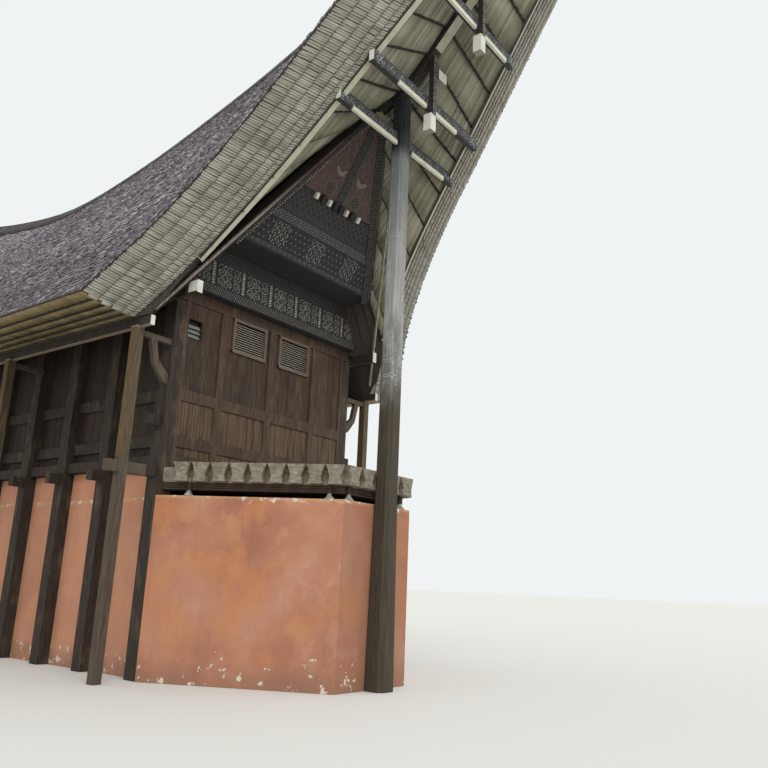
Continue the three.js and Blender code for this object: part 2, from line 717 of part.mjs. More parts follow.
// Assembly
const house = new THREE.Group();
const front = new THREE.Group();
const rear = new THREE.Group();
rear.rotation.z = Math.PI;
house.add(front, rear);
const add = (group, name, geometry, finish) => {
  const mesh = new THREE.Mesh(geometry, finish);
  mesh.name = name;
  group.add(mesh);
};
add(house, "roof_slope_right", bodySlope(), SHINGLE);
add(house, "roof_slope_left", mirrored(bodySlope()), SHINGLE);
add(house, "ridge_cap", ridgeCap(), SHINGLE);
for (const [side, shape] of [
  ["right", (g) => g],
  ["left", mirrored],
]) {
  add(house, `side_wall_${side}`, shape(sideWall()), DARK_WOOD);
  add(house, `side_frame_${side}`, shape(sideFrame()), DARK_WOOD);
  add(house, `eave_frame_${side}`, shape(eaveFrame()), GREY_WOOD);
  add(house, `masonry_wall_${side}`, shape(masonryWall()), PLASTER);
}
add(house, "floor", floorSlab(), DARK_WOOD);
for (const [end, group] of [
  ["front", front],
  ["rear", rear],
]) {
  const right = end === "front" ? "right" : "left";
  const left = end === "front" ? "left" : "right";
  add(group, `${end}_prow_${right}`, prowSlope(), SHINGLE);
  add(group, `${end}_prow_${left}`, mirrored(prowSlope()), SHINGLE);
  add(group, `${end}_verge_board_${right}`, vergeBoard(), PALE_WOOD);
  add(group, `${end}_verge_board_${left}`, mirrored(vergeBoard()), PALE_WOOD);
  add(group, `${end}_ridge_beam`, ridgeBeam(), GREY_WOOD);
  add(group, `${end}_gable_rafters`, underRoof(gableRafters()), DARK_WOOD);
  add(group, `${end}_gable_panel`, underRoof(gablePanel()), CARVED_WOOD);
  add(group, `${end}_frieze`, underRoof(frieze()), CARVED_WOOD);
  add(group, `${end}_wall`, frontWall(), DARK_WOOD);
  add(group, `${end}_wall_frame`, underRoof(frontFrame()), DARK_WOOD);
  add(group, `${end}_post`, notchedPost(), GREY_WOOD);
  BARS.forEach((bar, i) => add(group, `${end}_cross_bar_${i + 1}`, crossBar(bar), CARVED_WOOD));
  add(group, `${end}_masonry_bay`, masonryBay(), PLASTER);
  add(group, `${end}_log_deck`, deck(), GREY_WOOD);
}

export default house;
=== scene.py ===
"""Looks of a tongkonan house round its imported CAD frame: shingles, bamboo, boards, carving and plaster."""

import math

import bpy
import numpy as np
from mathutils import Matrix, Vector


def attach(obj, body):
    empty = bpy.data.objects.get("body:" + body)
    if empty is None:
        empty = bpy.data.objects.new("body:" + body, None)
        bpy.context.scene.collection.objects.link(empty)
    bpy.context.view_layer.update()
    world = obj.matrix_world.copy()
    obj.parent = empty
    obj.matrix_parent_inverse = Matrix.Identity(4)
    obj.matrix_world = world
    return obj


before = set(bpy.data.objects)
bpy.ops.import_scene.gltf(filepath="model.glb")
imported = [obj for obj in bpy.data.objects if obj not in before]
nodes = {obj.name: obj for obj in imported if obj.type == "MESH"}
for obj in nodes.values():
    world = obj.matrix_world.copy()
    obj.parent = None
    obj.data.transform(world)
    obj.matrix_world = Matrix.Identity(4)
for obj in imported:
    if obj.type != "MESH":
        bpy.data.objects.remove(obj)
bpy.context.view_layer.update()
rng = np.random.default_rng(7)

# The photograph's own viewing angle, from a camera fitted to the house's lines
EYE = Vector((-10.379, -18.994, 1.6))
YAW, PITCH, ROLL = -0.917073, 0.252132, 0.04175
FOCAL_WIDTHS = 780.813 / 768  # focal length over the picture's width


def photo_camera():
    """The camera that the photo was taken with, as fitted."""
    ahead = Vector((-math.sin(YAW) * math.cos(PITCH), math.cos(YAW) * math.cos(PITCH), math.sin(PITCH)))
    level = Vector((math.cos(YAW), math.sin(YAW), 0))
    upright = level.cross(ahead)
    across = math.cos(ROLL) * level + math.sin(ROLL) * upright
    over = -math.sin(ROLL) * level + math.cos(ROLL) * upright
    data = bpy.data.cameras.new("photo_camera")
    data.sensor_width = 36
    data.lens = 36 * FOCAL_WIDTHS
    data.clip_end = 400
    camera = bpy.data.objects.new("photo_camera", data)
    bpy.context.scene.collection.objects.link(camera)
    turn = Matrix((across, over, -ahead)).transposed().to_4x4()
    camera.matrix_world = Matrix.Translation(EYE) @ turn
    bpy.context.scene.camera = camera


photo_camera()


# Places on the house, in metres
HALF = 8.245  # front wall's outer plane from the middle; distances d count from it
LEAN = math.atan(0.576)  # of the gable, forwards
BAY_TOP, BAY_SIDES_END = 2.885, 2.5  # the end face of the bay lies beyond that distance
RIM_FOOT, LOG_FOOT = 2.985, 3.12
EAVE_BEAM_FOOT = 5.59
FRIEZE_FOOT, PANEL_FOOT = 6.549, 7.55
# Cross bars: distance, half length, underside, and the runs of cream board along the front lower edge
BARS = ((2.99, 1.785, 9.52, ((-1.45, -0.17), (0.3, 1.4))),
        (3.594, 1.684, 10.08, ((-0.97, -0.13), (0.15, 0.9))),
        (4.617, 1.3, 11.3, ((-1.04, -0.13), (0.15, 0.98))))
PENDANT_BLOCKS = ((3.5, 3.68, 9.6, 9.945), (4.53, 4.71, 10.82, 11.165))  # distances and heights
PENDANT_HALF = 0.051
CREAM_FROM = 3.75  # distance from which the underside of the ridge beam is cream
SPUR_FROM, SPUR_HEIGHTS, SPUR_TO = 0.101, (10.7, 10.95), 3.72  # across, heights and largest distance
EAVE_POST_INNER = 2.97  # the posts' side towards the wall; the braces lie within it
PROW_END = 15.1  # the cut ends of the prows lie beyond it


# Shader helpers

def colour(hexcode, alpha=1.0):
    """An sRGB hex colour as Blender's linear RGBA."""
    parts = [int(hexcode[i : i + 2], 16) / 255 for i in (1, 3, 5)]
    return tuple(c / 12.92 if c <= 0.04045 else ((c + 0.055) / 1.055) ** 2.4 for c in parts) + (alpha,)


# What a node's short name stands for: its kind, settings, inputs in order and output
NODES = {
    "across": ("ShaderNodeAttribute", {"attribute_name": "across"}, (), "Fac"),
    "along": ("ShaderNodeAttribute", {"attribute_name": "along"}, (), "Fac"),
    "tint": ("ShaderNodeAttribute", {"attribute_name": "tint"}, (), "Fac"),
    "bump": ("ShaderNodeBump", {}, ("Height", "Distance", "Strength", "Normal"), 0),
    "coordinates": ("ShaderNodeTexCoord", {}, (), "Object"),
    "fade": ("ShaderNodeMapRange", {"interpolation_type": "SMOOTHSTEP"}, (0, 1, 2, 3, 4), 0),
    "joined": ("ShaderNodeCombineXYZ", {}, (0, 1, 2), 0),
    "mix": ("ShaderNodeMix", {"data_type": "RGBA"}, (0, 6, 7), 2),
    "moved": ("ShaderNodeVectorMath", {"operation": "ADD"}, (0, 1), 0),
    "noise": ("ShaderNodeTexNoise", {}, ("Vector", "Scale", "Detail", "Roughness"), "Fac"),
    "normal": ("ShaderNodeNewGeometry", {}, (), "True Normal"),
    "ramp": ("ShaderNodeValToRGB", {}, ("Fac",), "Color"),
    "scaled": ("ShaderNodeMapping", {}, ("Vector", "Scale"), 0),
    "split": ("ShaderNodeSeparateXYZ", {}, (0,), 0),
    "box": ("GeometryNodeMeshCube", {}, ("Size",), "Mesh"),
    "row": ("GeometryNodeMeshLine", {}, ("Count", "Start Location", "Offset"), 0),
    "instances": ("GeometryNodeInstanceOnPoints", {}, ("Points", "Instance", "Rotation"), 0),
    "realized": ("GeometryNodeRealizeInstances", {}, ("Geometry",), 0),
    "material": ("GeometryNodeSetMaterial", {}, ("Geometry", "Material"), 0),
    "result": ("NodeGroupOutput", {}, (0,), None),
}


def feed(tree, socket, value):
    """Link an input to another node's output, or set it; a string is an sRGB colour."""
    if isinstance(value, bpy.types.NodeSocket):
        tree.links.new(value, socket)
    else:
        socket.default_value = colour(value) if isinstance(value, str) else value


def add(tree, name, *values, out=None, stops=()):
    """One node by its short name, or a Math node by its operation, with its inputs; gives an output of it."""
    kind, fixed, keys, usual = NODES.get(name) or ("ShaderNodeMath", {"operation": name}, (0, 1), 0)
    node = tree.nodes.new(kind)
    for key, value in fixed.items():
        setattr(node, key, value)
    for key, value in zip(keys, values):
        feed(tree, node.inputs[key], value)
    if stops:
        elements = node.color_ramp.elements
        while len(elements) < len(stops):
            elements.new(0.5)
        for element, (position, hexcode) in zip(elements, stops):
            element.position, element.color = position, colour(hexcode)
    out = usual if out is None else out
    return None if out is None else node.outputs[out]


class Shade:
    """A material under construction, with its nodes, its links and the object's own coordinates."""

    def __init__(self, name, comment):
        self.material = bpy.data.materials.new(name)
        self.material["gives"] = comment
        self.material.use_nodes = True
        tree = self.material.node_tree
        self.nodes, self.links = tree.nodes, tree.links
        self.place = add(self, "coordinates")
        self.x, self.y, self.z = (add(self, "split", self.place, out=axis) for axis in "XYZ")

    def finish(self, base, rough, *bump):
        """Feed the surface with its colour and roughness, and with a bump from a height, if there is one."""
        surface = self.nodes["Principled BSDF"]
        feed(self, surface.inputs["Base Color"], base)
        feed(self, surface.inputs["Roughness"], rough)
        if bump:
            feed(self, surface.inputs["Normal"], add(self, "bump", *bump))
        return self.material


# Looks that need more than one node

def grain_noise(s, scales, size, detail, rough):
    """Noise on object coordinates that are scaled on each axis, so that it is drawn out as grain."""
    return add(s, "noise", add(s, "scaled", s.place, scales), size, detail, rough)


def tones(s, value, dark, middle, light, spread=0.23):
    """Three colours along a value, the middle one at 0.5."""
    return add(s, "ramp", value, stops=((0.5 - spread, dark), (0.5, middle), (0.5 + spread, light)))


def laid(s, base, over, mask, *fade):
    """A colour laid over the base as the mask passes through a fade: start, end, least and most."""
    return add(s, "mix", add(s, "fade", mask, *fade), base, over)


def streaked(s, grain, dark, light):
    """Two colours that pass into one another with the grain."""
    return add(s, "mix", add(s, "fade", grain, 0.35, 0.7), dark, light)


def about(s, value, amount):
    """A noise moved to lie about 0 and spread by that amount."""
    return add(s, "MULTIPLY", add(s, "SUBTRACT", value, 0.5), amount)


def facing(s, axis, least):
    """1 on the faces that look along an axis, either way."""
    across = add(s, "split", add(s, "normal"), out=axis)
    return add(s, "GREATER_THAN", add(s, "ABSOLUTE", across), least)


def facing_middle(s, least):
    """1 on the faces that look from a long side towards the middle."""
    across = add(s, "split", add(s, "normal"), out="X")
    return add(s, "LESS_THAN", add(s, "MULTIPLY", add(s, "SIGN", s.x), across), -least)


def timber(name, comment, dark, middle, light, grain=(16, 16, 0.9), weather=None, contrast=1.0, bleach=None):
    """Sawn timber with drawn-out grain, stains, worn patches and, low on the wall, bleached streaks."""
    s = Shade(name, comment)
    tint = add(s, "tint")
    moved = add(s, "moved", s.place, add(s, "joined", add(s, "MULTIPLY", tint, 7.3), tint, tint))
    fibre = add(s, "noise", add(s, "scaled", moved, grain), 3.0, 8, 0.65)
    broad = grain_noise(s, (1, 1, 0.4), 1.7, 4, 0.6)
    base = tones(s, add(s, "ADD", fibre, about(s, tint, 0.22)), dark, middle, light, 0.23 / contrast)
    base = laid(s, base, dark, broad, 0.35, 0.75, 0, 0.45)
    if weather:
        worn = grain_noise(s, (2.2, 2.2, 0.8), 2.3, 6, 0.6)
        base = laid(s, base, weather, worn, 0.5, 0.72, 0, 0.6)
    if bleach:
        streak = grain_noise(s, (9, 9, 0.35), 2.0, 5, 0.6)
        low = add(s, "fade", s.z, 4.66, 4.5)
        base = add(s, "mix", both(s, low, add(s, "fade", streak, 0.38, 0.6, 0.05, 0.6)), base, bleach)
    return s.finish(base, add(s, "fade", fibre, 0.3, 0.7, 0.9, 0.72), fibre, 0.006, 0.8)


def painted(name, comment, base, worn, grain=(14, 14, 14)):
    """Old paint over boards, rubbed through in streaks."""
    s = Shade(name, comment)
    return s.finish(paint(s, base, worn, grain), 0.75, grain_noise(s, grain, 2.0, 7, 0.7), 0.003, 0.6)


def paint(s, base, worn, grain=(14, 14, 14)):
    """Colour of a painted board, dirty and rubbed through."""
    fibre = grain_noise(s, grain, 2.0, 7, 0.7)
    dirt = grain_noise(s, (1, 1, 1), 3.1, 5, 0.6)
    tone = laid(s, base, worn, fibre, 0.52, 0.78, 0, 0.75)
    return laid(s, tone, worn, dirt, 0.45, 0.8, 0, 0.5)


def bamboo(name, comment, dark, middle, light, end="#2e2a22", edge_from=0.8, vary=0.5):
    """Split culms: every culm its own tone, fibres along it, darker at its ends."""
    s = Shade(name, comment)
    tint = add(s, "tint")
    along = add(s, "along")
    fibre = grain_noise(s, (30, 30, 30), 1.6, 6, 0.7)
    wave = grain_noise(s, (1, 1, 1), 2.4, 5, 0.6)
    tone = add(s, "ADD", add(s, "MULTIPLY", tint, vary), add(s, "MULTIPLY", fibre, 0.5))
    tone = add(s, "ADD", tone, about(s, wave, 0.7))
    tone = add(s, "ADD", tone, 0.25 - vary * 0.5)
    base = add(s, "ramp", tone, stops=((0.2, dark), (0.5, middle), (0.85, light)))
    edge = add(s, "MULTIPLY", add(s, "ABSOLUTE", add(s, "SUBTRACT", along, 0.5)), 2.0)
    base = laid(s, base, end, edge, edge_from, 1.0, 0, 0.85)
    broad = grain_noise(s, (1, 1, 1), 0.9, 4, 0.6)
    base = laid(s, base, dark, broad, 0.5, 0.75, 0, 0.4)
    return s.finish(base, 0.7, fibre, 0.002, 0.5)


def shingle_material():
    """Grey purple shingles, each with its own tone, dark and mossy in broad patches."""
    s = Shade("weathered_bamboo_shingle", "grey purple shingles, each bleached or mossy in its own way")
    tint = add(s, "tint")
    along = add(s, "along")
    fibre = grain_noise(s, (26, 26, 26), 1.4, 6, 0.7)
    tone = add(s, "ADD", add(s, "MULTIPLY", tint, 0.85), add(s, "MULTIPLY", fibre, 0.35))
    base = add(s, "ramp", tone,
               stops=((0.2, "#504b4c"), (0.5, "#7e797e"), (0.8, "#9b969a"), (1.0, "#b3aeb2")))
    broad = grain_noise(s, (1, 1, 1), 0.55, 5, 0.6)
    base = laid(s, base, "#5a5152", broad, 0.5, 0.8, 0, 0.35)
    moss = grain_noise(s, (1, 1, 1), 1.3, 6, 0.7)
    base = laid(s, base, "#6a6757", moss, 0.6, 0.8, 0, 0.25)
    base = laid(s, base, "#4a4246", along, 0.8, 1.0, 0, 0.35)
    base = laid(s, base, "#4c4448", s.z, 8.2, 6.2, 0, 0.42)
    return s.finish(base, 0.92, fibre, 0.004, 0.7)


def plaster_material():
    """Salmon wash, streaked, damp at the foot and flaking; painted light on the side walls, painted shade on
    the bay's end face.
    """
    s = Shade("salmon_plaster", "faded salmon wash with rain streaks, damp at the foot and spots fallen off")
    broad = add(s, "noise", s.place, 0.7, 5, 0.6)
    cloud = add(s, "noise", s.place, 3.0, 6, 0.6)
    grain = add(s, "noise", s.place, 90, 4, 0.6)
    z = s.z
    base = add(s, "ramp", broad, stops=((0.3, "#95604a"), (0.5, "#aa745a"), (0.72, "#b58972")))
    base = laid(s, base, "#bd9580", cloud, 0.48, 0.72, 0, 0.45)
    warm = add(s, "noise", s.place, 1.5, 3, 0.6)
    base = laid(s, base, "#b2764a", warm, 0.46, 0.62, 0, 0.6)
    # Painted shade: the bay's end face is darkened, as if turned from the light
    far = add(s, "GREATER_THAN", add(s, "ABSOLUTE", s.y), HALF + BAY_SIDES_END)
    base = add(s, "mix", both(s, facing(s, "Y", 0.97), far, 0.35), base, "#77503f")
    # Painted light: the side walls between the piles are made paler against the eaves' shade
    near = add(s, "LESS_THAN", add(s, "ABSOLUTE", s.y), HALF)
    base = add(s, "mix", both(s, near, facing(s, "X", 0.97), 0.4), base, "#cf9678")
    streak = grain_noise(s, (5, 5, 0.28), 2.2, 6, 0.7)
    base = laid(s, base, "#84594a", streak, 0.52, 0.8, 0, 0.4)
    damp = add(s, "ADD", add(s, "fade", z, 0.75, 0.0, 0, 0.75), about(s, cloud, 0.9))
    base = laid(s, base, "#80604f", damp, 0.3, 0.9, 0, 0.75)
    below_top = add(s, "LESS_THAN", z, BAY_TOP + 0.005)
    wash = add(s, "MULTIPLY", add(s, "fade", z, BAY_TOP - 0.185, BAY_TOP), below_top)
    worn = add(s, "ADD", wash, about(s, cloud, 1.2))
    base = laid(s, base, "#c39a72", worn, 0.7, 1.1, 0, 0.55)
    flake = add(s, "noise", s.place, 5.5, 8, 0.68)
    low = add(s, "ADD", add(s, "fade", z, 0.9, 0.15, 0, 0.16), add(s, "MULTIPLY", wash, 0.2))
    spots = add(s, "fade", add(s, "ADD", flake, low), 0.735, 0.75)
    base = add(s, "mix", spots, base, "#cbbdad")
    height = add(s, "SUBTRACT", add(s, "MULTIPLY", grain, 0.4), add(s, "MULTIPLY", spots, 1.2))
    normal = add(s, "bump", height, 0.004, 0.6)
    return s.finish(base, 0.88, cloud, 0.012, 0.3, normal)


def bark_material():
    """Shaggy logs, with a stack of bundled rods below them painted dark as shade, and the pale rim at its
    foot.
    """
    s = Shade("rough_bark_log",
              "shaggy logs, grey where the sun reaches them, over a dark stack of bundled rods")
    shag = grain_noise(s, (5, 5, 9), 2.0, 9, 0.75)
    broad = add(s, "noise", s.place, 2.6, 4, 0.6)
    z = s.z
    base = add(s, "ramp", shag, stops=((0.3, "#50483d"), (0.5, "#857c6c"), (0.72, "#b3a998")))
    base = laid(s, base, "#8e8577", broad, 0.45, 0.7, 0, 0.45)
    base = laid(s, base, "#5b5145", broad, 0.5, 0.3, 0, 0.5)
    # Painted shade: the stack under the logs is nearly black, for the shadow that the logs cast on it
    rods = add(s, "FRACT", add(s, "DIVIDE", add(s, "ADD", z, add(s, "MULTIPLY", broad, 0.02)), 0.034))
    stack = add(s, "mix", add(s, "fade", rods, 0.35, 0.75), "#1b130d", "#54422f")
    base = laid(s, base, stack, z, LOG_FOOT + 0.005, LOG_FOOT - 0.01)
    rim = add(s, "mix", add(s, "fade", shag, 0.4, 0.7), "#77736a", "#a9a69b")
    base = laid(s, base, rim, z, RIM_FOOT - 0.003, RIM_FOOT - 0.01)
    return s.finish(base, 0.9, add(s, "ADD", shag, rods), 0.014, 0.8)


# Carving patterns, drawn in metres across (a) and up (b) a board

def cell(s, value, size):
    """Position inside a cell of that size, from -0.5 to 0.5."""
    return add(s, "SUBTRACT", add(s, "FRACT", add(s, "DIVIDE", value, size)), 0.5)


def distance(s, a, b):
    """How far (a, b) lies from (0, 0)."""
    return add(s, "SQRT", add(s, "ADD", both(s, a, a), both(s, b, b)))


def scrolls(s, a, b, size, turns=2.1, heavy=0.15):
    """White spirals in square cells, mirrored from cell to cell; heavy is the line's weight."""
    u, v = (about(s, add(s, "PINGPONG", add(s, "DIVIDE", value, size), 1.0), size) for value in (a, b))
    radius = distance(s, u, v)
    angle = add(s, "DIVIDE", add(s, "ARCTAN2", v, u), 2 * math.pi)
    wave = add(s, "FRACT", add(s, "ADD", add(s, "MULTIPLY", radius, 2 * turns / size), angle))
    line = add(s, "fade", add(s, "ABSOLUTE", add(s, "SUBTRACT", wave, 0.5)), heavy + 0.07, heavy - 0.05)
    inside = add(s, "fade", radius, size * 0.56, size * 0.53)
    return add(s, "MULTIPLY", line, inside)


def dots(s, a, b, pitch_a, pitch_b, radius):
    """A grid of dots, every other row shifted by half a pitch."""
    row = add(s, "FLOOR", add(s, "DIVIDE", b, pitch_b))
    shift = add(s, "MULTIPLY", add(s, "MODULO", row, 2.0), pitch_a * 0.5)
    u = add(s, "MULTIPLY", cell(s, add(s, "ADD", a, shift), pitch_a), pitch_a)
    v = add(s, "MULTIPLY", cell(s, b, pitch_b), pitch_b)
    return add(s, "fade", distance(s, u, v), radius * 1.3, radius * 0.52)


def crosses(s, a, b, pitch):
    """Diagonal crosses along a border."""
    u, v = cell(s, a, pitch), cell(s, b, pitch)
    near = add(s, "MINIMUM", add(s, "ABSOLUTE", add(s, "SUBTRACT", u, v)),
               add(s, "ABSOLUTE", add(s, "ADD", u, v)))
    return add(s, "fade", near, 0.19, 0.09)


def strokes(s, a, b, pitch, length):
    """Wavering upright strokes, broken at heights that differ from column to column."""
    wander = add(s, "MULTIPLY", add(s, "SINE", add(s, "MULTIPLY", b, 2 * math.pi / 0.09)), pitch * 0.22)
    u = cell(s, add(s, "ADD", a, wander), pitch)
    column = add(s, "FLOOR", add(s, "DIVIDE", a, pitch))
    piece = add(s, "FRACT", add(s, "ADD", add(s, "DIVIDE", b, length), add(s, "MULTIPLY", column, 0.37)))
    return add(s, "MULTIPLY", add(s, "fade", add(s, "ABSOLUTE", u), 0.2, 0.08),
               add(s, "GREATER_THAN", piece, 0.3))


def band(s, value, low, high):
    """1 between low and high."""
    return add(s, "MULTIPLY", add(s, "GREATER_THAN", value, low), add(s, "LESS_THAN", value, high))


def most(s, *values):
    """The largest of several values."""
    found = values[0]
    for value in values[1:]:
        found = add(s, "MAXIMUM", found, value)
    return found


def both(s, *values):
    """The product of several values."""
    found = values[0]
    for value in values[1:]:
        found = add(s, "MULTIPLY", found, value)
    return found


def carved(name, comment, draw, ground="#1d1a19", cut="#c9c6bb", red="#6d3329"):
    """Black boards with the pattern cut out of them in white, worn and dusty."""
    s = Shade(name, comment)
    white, warm, dark = draw(s)
    wear = add(s, "noise", s.place, 14, 6, 0.7)
    base = add(s, "mix", add(s, "fade", wear, 0.4, 0.75, 0, 0.5), ground, "#3c3430")
    base = add(s, "mix", warm, base, streaked(s, wear, red, "#3f2b25"))
    strength = add(s, "MULTIPLY", white, add(s, "fade", wear, 0.3, 0.62, 1.0, 0.35))
    base = add(s, "mix", strength, base, cut)
    base = add(s, "mix", dark, base, "#120f0e")
    return s.finish(base, 0.8, add(s, "SUBTRACT", 1.0, white), 0.006, 0.7)


def frieze_pattern(s):
    """Panels of fine scrolls between dashed uprights, a lattice along the foot and dim dots at the head."""
    x, z = s.x, add(s, "SUBTRACT", s.z, FRIEZE_FOOT)
    u = add(s, "MULTIPLY", cell(s, add(s, "ADD", x, 0.36), 0.72), 0.72)
    body = band(s, z, 0.2, 0.64)
    inner = add(s, "LESS_THAN", add(s, "ABSOLUTE", u), 0.28)
    curls = scrolls(s, add(s, "ADD", u, 0.28), add(s, "SUBTRACT", z, 0.2), 0.187, 1.6, 0.09)
    stems = strokes(s, add(s, "ADD", u, 0.28), add(s, "SUBTRACT", z, 0.2), 0.093, 0.16)
    scroll = both(s, most(s, curls, add(s, "MULTIPLY", stems, 0.4)), body, inner)
    upright = add(s, "MULTIPLY", add(s, "GREATER_THAN", add(s, "ABSOLUTE", u), 0.328), body)
    bead = add(s, "MULTIPLY", upright,
               add(s, "LESS_THAN", add(s, "FRACT", add(s, "DIVIDE", z, 0.052)), 0.66))
    foot = add(s, "MULTIPLY", dots(s, x, add(s, "SUBTRACT", z, 0.02), 0.062, 0.04, 0.012),
               band(s, z, 0.02, 0.175))
    head = add(s, "MULTIPLY", dots(s, x, z, 0.075, 0.06, 0.013), band(s, z, 0.67, 0.88))
    white = most(s, add(s, "MULTIPLY", scroll, 0.75), add(s, "MULTIPLY", bead, 0.85),
                 add(s, "MULTIPLY", foot, 0.75), add(s, "MULTIPLY", head, 0.3))
    return white, 0.0, most(s, band(s, z, 0.18, 0.195), band(s, z, 0.645, 0.665))


def panel_pattern(s):
    """Clusters of wavering strokes among dots, a lattice and dim nets above, red boards over the blocks."""
    x = s.x
    v = add(s, "DIVIDE", add(s, "SUBTRACT", s.z, PANEL_FOOT), math.cos(LEAN))
    wave = both(s, scrolls(s, x, v, 0.07, 1.2), band(s, v, 0.02, 0.09), 0.5)
    u = add(s, "MULTIPLY", cell(s, add(s, "ADD", x, 0.5), 1.0), 1.0)
    cluster = add(s, "LESS_THAN", add(s, "ABSOLUTE", u), 0.21)
    motif = both(s, strokes(s, add(s, "ADD", u, 0.21), add(s, "SUBTRACT", v, 0.12), 0.07, 0.13), cluster)
    specks = add(s, "MULTIPLY", dots(s, x, v, 0.12, 0.11, 0.014), add(s, "SUBTRACT", 1.0, cluster))
    middle = add(s, "MULTIPLY", add(s, "MAXIMUM", motif, specks), band(s, v, 0.12, 0.56))
    net = both(s, crosses(s, x, v, 0.085), band(s, v, 0.6, 0.77), 0.45)
    fine = both(s, dots(s, x, v, 0.07, 0.045, 0.012), band(s, v, 0.79, 0.93), 0.5)
    grid = both(s, crosses(s, x, v, 0.15), band(s, v, 0.95, 1.3), 0.1)
    lines = most(s, band(s, v, 0.575, 0.59), band(s, v, 0.935, 0.95))
    head = add(s, "GREATER_THAN", v, 3.3)
    white = add(s, "MULTIPLY", most(s, wave, middle, net, fine, grid), 0.62)
    return white, add(s, "GREATER_THAN", v, 1.36), most(s, lines, head)


def strip_pattern(s):
    """Beads on both edges of a running scroll; across and along come with the piece."""
    across = add(s, "across")
    along = add(s, "along")
    u = about(s, across, 0.19)
    scroll = add(s, "MULTIPLY", scrolls(s, add(s, "ADD", u, 0.05), along, 0.1, 1.4, 0.17),
                 band(s, u, -0.052, 0.052))
    edge = add(s, "GREATER_THAN", add(s, "ABSOLUTE", u), 0.068)
    bead = add(s, "MULTIPLY", edge,
               add(s, "LESS_THAN", add(s, "FRACT", add(s, "DIVIDE", along, 0.06)), 0.5))
    lit = add(s, "GREATER_THAN", add(s, "MULTIPLY", s.x, s.y), 1.5)
    strength = add(s, "ADD", 0.22, add(s, "MULTIPLY", lit, 0.4))
    return both(s, add(s, "MAXIMUM", add(s, "MULTIPLY", scroll, 0.7), bead), strength), 0.0, 0.0


def bar_height(s):
    """Height on whichever of the three cross bars the point lies, in metres from its underside."""
    feet = [bottom for _, _, bottom, _ in BARS]
    height = add(s, "SUBTRACT", s.z, feet[0])
    for low, high in zip(feet[:-1], feet[1:]):
        step = add(s, "MULTIPLY", add(s, "GREATER_THAN", s.z, high - 0.1), high - low)
        height = add(s, "SUBTRACT", height, step)
    return height


def bar_scroll(s, up):
    """White of one row of large scrolls on the front and the back of a cross bar."""
    scroll = scrolls(s, s.x, add(s, "SUBTRACT", up, 0.035), 0.15, 1.2, 0.13)
    return both(s, scroll, facing(s, "Y", 0.7))


def bar_pattern(s):
    """Large scrolls along a cross bar, clear of its edges."""
    up = bar_height(s)
    return both(s, bar_scroll(s, up), band(s, up, 0.035, 0.185)), 0.0, 0.0


def verge_board_material():
    """Cream board, dark towards the middle; the ends of the cross bars that it carries are carved."""
    s = Shade("cream_verge_board", "cream board gone grey, with the dark carved ends of the bars")
    base = paint(s, "#aeab97", "#85826f")
    base = add(s, "mix", facing_middle(s, 0.55), base, "#38302c")
    d = add(s, "SUBTRACT", add(s, "ABSOLUTE", s.y), HALF)
    stubs = [both(s, band(s, d, at - 0.113, at + 0.002), band(s, s.z, bottom - 0.002, bottom + 0.222))
             for at, _, bottom, _ in BARS]
    square = most(s, *(facing(s, axis, 0.99) for axis in "XYZ"))
    stub = add(s, "MULTIPLY", most(s, *stubs), square)
    bar = add(s, "mix", bar_scroll(s, bar_height(s)), "#343536", "#8e9091")
    base = add(s, "mix", stub, base, bar)
    return s.finish(base, 0.78, add(s, "noise", s.place, 25, 6, 0.6), 0.003, 0.6)


def ridge_beam_material():
    """Black beam with a cream underside beyond the post, carved pendants and white blocks at their feet."""
    s = Shade("painted_ridge_beam", "black beam, cream below at its outer end, white pendant blocks")
    x, z = s.x, s.z
    d = add(s, "SUBTRACT", add(s, "ABSOLUTE", s.y), HALF)
    grain = grain_noise(s, (6, 6, 6), 3.0, 7, 0.7)
    base = streaked(s, grain, "#15130f", "#37332f")
    below = both(s, facing(s, "Z", 0.4), add(s, "GREATER_THAN", d, CREAM_FROM))
    base = add(s, "mix", below, base, paint(s, "#a9a792", "#807e6c"))
    thin = add(s, "LESS_THAN", add(s, "ABSOLUTE", x), PENDANT_HALF)
    shaft = both(s, scrolls(s, add(s, "ADD", x, 0.05), z, 0.1, 1.4, 0.16), facing(s, "Y", 0.9), thin)
    base = add(s, "mix", add(s, "MULTIPLY", shaft, 0.6), base, "#9b9a93")
    foot = most(s, *(both(s, band(s, d, d0, d1), band(s, z, z0, z1)) for d0, d1, z0, z1 in PENDANT_BLOCKS))
    spur = both(s, add(s, "GREATER_THAN", add(s, "ABSOLUTE", x), SPUR_FROM), band(s, z, *SPUR_HEIGHTS),
                add(s, "LESS_THAN", d, SPUR_TO))
    block = add(s, "mix", facing(s, "Z", 0.9), paint(s, "#cfcec4", "#a3a196"), "#8b877c")
    base = add(s, "mix", add(s, "MAXIMUM", foot, spur), base, block)
    return s.finish(base, 0.8, grain, 0.004, 0.6)


